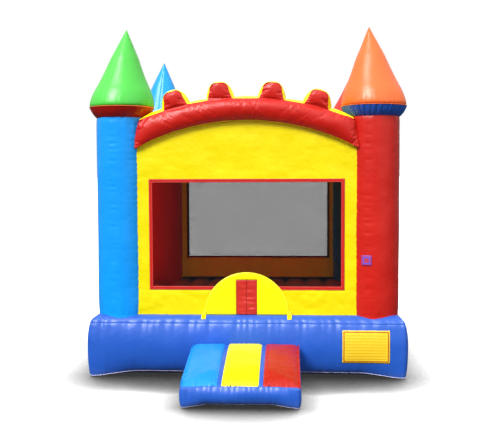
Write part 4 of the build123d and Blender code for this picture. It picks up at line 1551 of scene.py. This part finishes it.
def laid_panel(name, target, corners, steps, towards, gap, material):
    """A flat patch laid on a surface: a grid between four corners, cast along a direction onto it."""
    towards = Vector(towards)
    a, b, c, d = (Vector(p) for p in corners)
    rows = []
    for j in range(steps[1] + 1):
        line = []
        for i in range(steps[0] + 1):
            s, t = i / steps[0], j / steps[1]
            start = (a * (1 - s) + b * s) * (1 - t) + (d * (1 - s) + c * s) * t
            hit = target.ray_cast(start - towards * 0.2, towards)[0]
            line.append(tuple((hit if hit else start) - towards * gap))
        rows.append(line)
    return grid_piece(name, rows, False, material)


base_surface = ray_target(base_side)
card_corners = [(card_x + a * card_half_wide, -base_half, card_z + b * card_half_high)
                for a, b in square_corners]
placard = laid_panel("information_placard_card", base_surface, card_corners, (36, 26), (0, 1, 0), 0.0035,
                     placard_finish())
fit(thicken(placard, 0.002), "placard_amber", "information_placard")


patch_turn, patch_height, patch_reach = radians(-19.4), 1.438, 0.060


def tower_patch_finish():
    finish = Finish("patch_violet")
    height = (finish.height - patch_height).maths("ABSOLUTE")
    middle = tower_axis + (tower_radius + 0.003) * sin(patch_turn)
    across = (finish.across - middle).maths("ABSOLUTE") * (1 / cos(patch_turn))
    inner = (height < 0.026) * (across < 0.030)
    frame_line = (height.maths("MAXIMUM", across) > 0.044)
    worn = finish.cloud(60.0, 3.0)
    violet = finish.mixed(worn, (0.10, 0.06, 0.55, 1.0), (0.15, 0.09, 0.62, 1.0))
    colour_mix = finish.mixed(frame_line.maths("MAXIMUM", inner), violet, (0.48, 0.03, 0.06, 1.0))
    finish.paint(Base_Color=finish.mixed((height.maths("MAXIMUM", across) > 0.053), colour_mix, violet),
                 Roughness=worn * 0.2 + 0.4, Normal=finish.bump(worn, 0.002, 0.4))
    return finish.material


rows = []
for z in np.linspace(patch_height - patch_reach, patch_height + patch_reach, 13):
    line = []
    for u in np.linspace(-patch_reach, patch_reach, 13):
        turn = patch_turn + u / tower_radius
        line.append(around(towers["front_right"], tower_radius + 0.0065, turn, z))
    rows.append(line)
tower_patch = thicken(grid_piece("tower_fastening_square", rows, False, tower_patch_finish()), 0.002)
fit(tower_patch, "patch_violet", "tower_fastening_patch")


# ---- Ground anchors ----
# Six doubled patches sewn to the base near the ground, each with a loop of webbing round the straight bar
# of a steel D ring, for the stakes that hold the house down.
def steel_finish():
    finish = Finish("plated_steel")
    worn = finish.cloud(90.0, 5.0, 0.65)
    finish.paint(
        Base_Color=finish.mixed(worn, (0.42, 0.42, 0.43, 1.0), (0.62, 0.62, 0.61, 1.0)),
        Roughness=worn * 0.25 + 0.22,
        Normal=finish.bump(worn, 0.0006, 0.35),
    )
    finish.feed(finish.shader.inputs["Metallic"], 1.0)
    return finish.material


def moulded_finish():
    finish = Finish("moulded_plastic")
    grain = finish.cloud(420.0, 3.0)
    finish.paint(
        Base_Color=finish.mixed(grain, (0.010, 0.010, 0.011, 1.0), (0.026, 0.026, 0.028, 1.0)),
        Roughness=grain * 0.2 + 0.35,
        Normal=finish.bump(grain, 0.0003, 0.6),
    )
    return finish.material


steel, moulded = steel_finish(), moulded_finish()
patch_half, webbing_half = 0.075, 0.025
loop_route = [(0.0012, 0.062), (0.0022, 0.045), (0.0024, 0.028), (0.0060, 0.016), (0.0118, 0.0085)]
loop_route += [(0.0150, 0.000)] + [(away, -upward) for away, upward in reversed(loop_route)]


def refinish(node, material):
    """Gives a plain part from the record its finish."""
    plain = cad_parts[node]
    plain.data.materials.clear()
    plain.data.materials.append(material)


for name, (side, spot) in anchor_places.items():
    out = Vector({1: (1, 0, 0), 2: (0, 1, 0), 3: (-1, 0, 0)}[side])
    along = Vector((0, 1, 0) if side != 2 else (1, 0, 0))
    centre = out * base_half + along * spot + Vector((0, 0, anchor_height))
    rim = [centre + along * a * patch_half + Vector((0, 0, b * patch_half)) for a, b in square_corners]
    patch = laid_panel("anchor_patch_" + name, base_surface, rim, (14, 14), -out, 0.0022,
                       royal_blue_fabric)
    fit(thicken(patch, 0.002), "vinyl_royal_blue", "anchor_patches")
    box_stitch = [p + out * 0.0008 + (centre - p) * 0.10 for p in rim]
    row = stitch_row(box_stitch, out, 0.009, 0.006, 0.002, closed=True)
    fit(stitches("anchor_patch_stitches_" + name, [row], lavender_tape), "vinyl_royal_blue")
    rows = []
    for away, upward in loop_route:
        line = []
        for u in np.linspace(-webbing_half, webbing_half, 7):
            line.append(tuple(centre + out * away + along * u + Vector((0, 0, upward))))
        rows.append(line)
    loop = thicken(grid_piece("anchor_loop_" + name, rows, False, black_webbing), 0.0016)
    fit(loop, "webbing_black", "anchor_webbing")
    "anchor_patch_" + name
    refinish("anchor_ring_" + name, steel)


# ---- Inflation tube ----
# The sleeve at the back that the blower pushes into: royal blue fabric held open by air, closed round the
# blower by a webbing strap with a moulded buckle.
tube_x, tube_z, tube_radius = -0.900, 0.160, 0.1300
tube_start, tube_end = 1.965, 2.680
strap_middle, strap_half = 2.600, 0.019
columns = 128
rows = []
tube_girth = 2 * pi * tube_radius
tube_spots = np.arange(columns) * tube_girth / columns
tube_pull, _ = puckers(tube_spots, tube_girth, 71, 0.045, 0.012, 0.010, 0.05)
for y in np.linspace(tube_start, tube_end, 92):
    line = []
    for c in range(columns):
        turn = 2 * pi * c / columns
        from_strap = abs(y - strap_middle)
        swell = noise.noise(Vector((1.4 * sin(turn), 1.4 * cos(turn), y * 3.5)))
        radius = tube_radius + 0.0042 + 0.0045 * swell
        radius += tube_pull[c] * 0.5 * exp(-max(from_strap - strap_half, 0.0) / 0.05)
        radius -= 0.0075 * exp(-((from_strap / 0.030) ** 4))
        radius += 0.006 * exp(-(y - 1.98) / 0.03)
        radius = max(radius, 0.1285)
        height = tube_z + radius * sin(turn)
        line.append((tube_x + radius * cos(turn), y, max(height, 0.0025)))
    rows.append(line)
tube = grid_piece("inflation_sleeve", rows, True, royal_blue_fabric)
fit(thicken(tube, 0.0024), "vinyl_royal_blue", "inflation_tube")
rows = []
for u in np.linspace(-1, 1, 9):
    line = []
    for c in range(96):
        turn = 2 * pi * c / 96
        radius = 0.1334 + 0.0006 * (1 - u * u)
        y = strap_middle + strap_half * u
        line.append((tube_x + radius * cos(turn), y, tube_z + radius * sin(turn)))
    rows.append(line)
strap = thicken(grid_piece("inflation_sleeve_strap", rows, True, black_webbing), 0.002)
fit(strap, "webbing_black", "inflation_tube_strap")


# ---- Deflation zip ----
# A long zip in the rear of the base lets the air out for packing. Black tape, moulded teeth, and a steel
# slider with its pull.
tape_half = 0.030
rows = []
for z in np.linspace(zip_foot, zip_head, 60):
    line = []
    for u in np.linspace(-tape_half, tape_half, 15):
        hit = base_surface.ray_cast(Vector((zip_place + u, 2.3, z)), Vector((0, -1, 0)))[0]
        lie = (hit.y if hit else base_half) + 0.0016
        raised = smooth_step((tape_half - abs(u)) / 0.012)
        line.append((zip_place + u, lie + (max(base_half + 0.0010, lie) - lie) * raised, z))
    rows.append(line)
zip_tape = thicken(grid_piece("zip_tape_band", rows, False, black_webbing), 0.0014)
fit(zip_tape, "webbing_black", "zip_tape")
for node in ("zip_teeth", "inflation_tube_buckle"):
    refinish(node, moulded)
for node in ("zip_slider", "zip_pull"):
    refinish(node, steel)
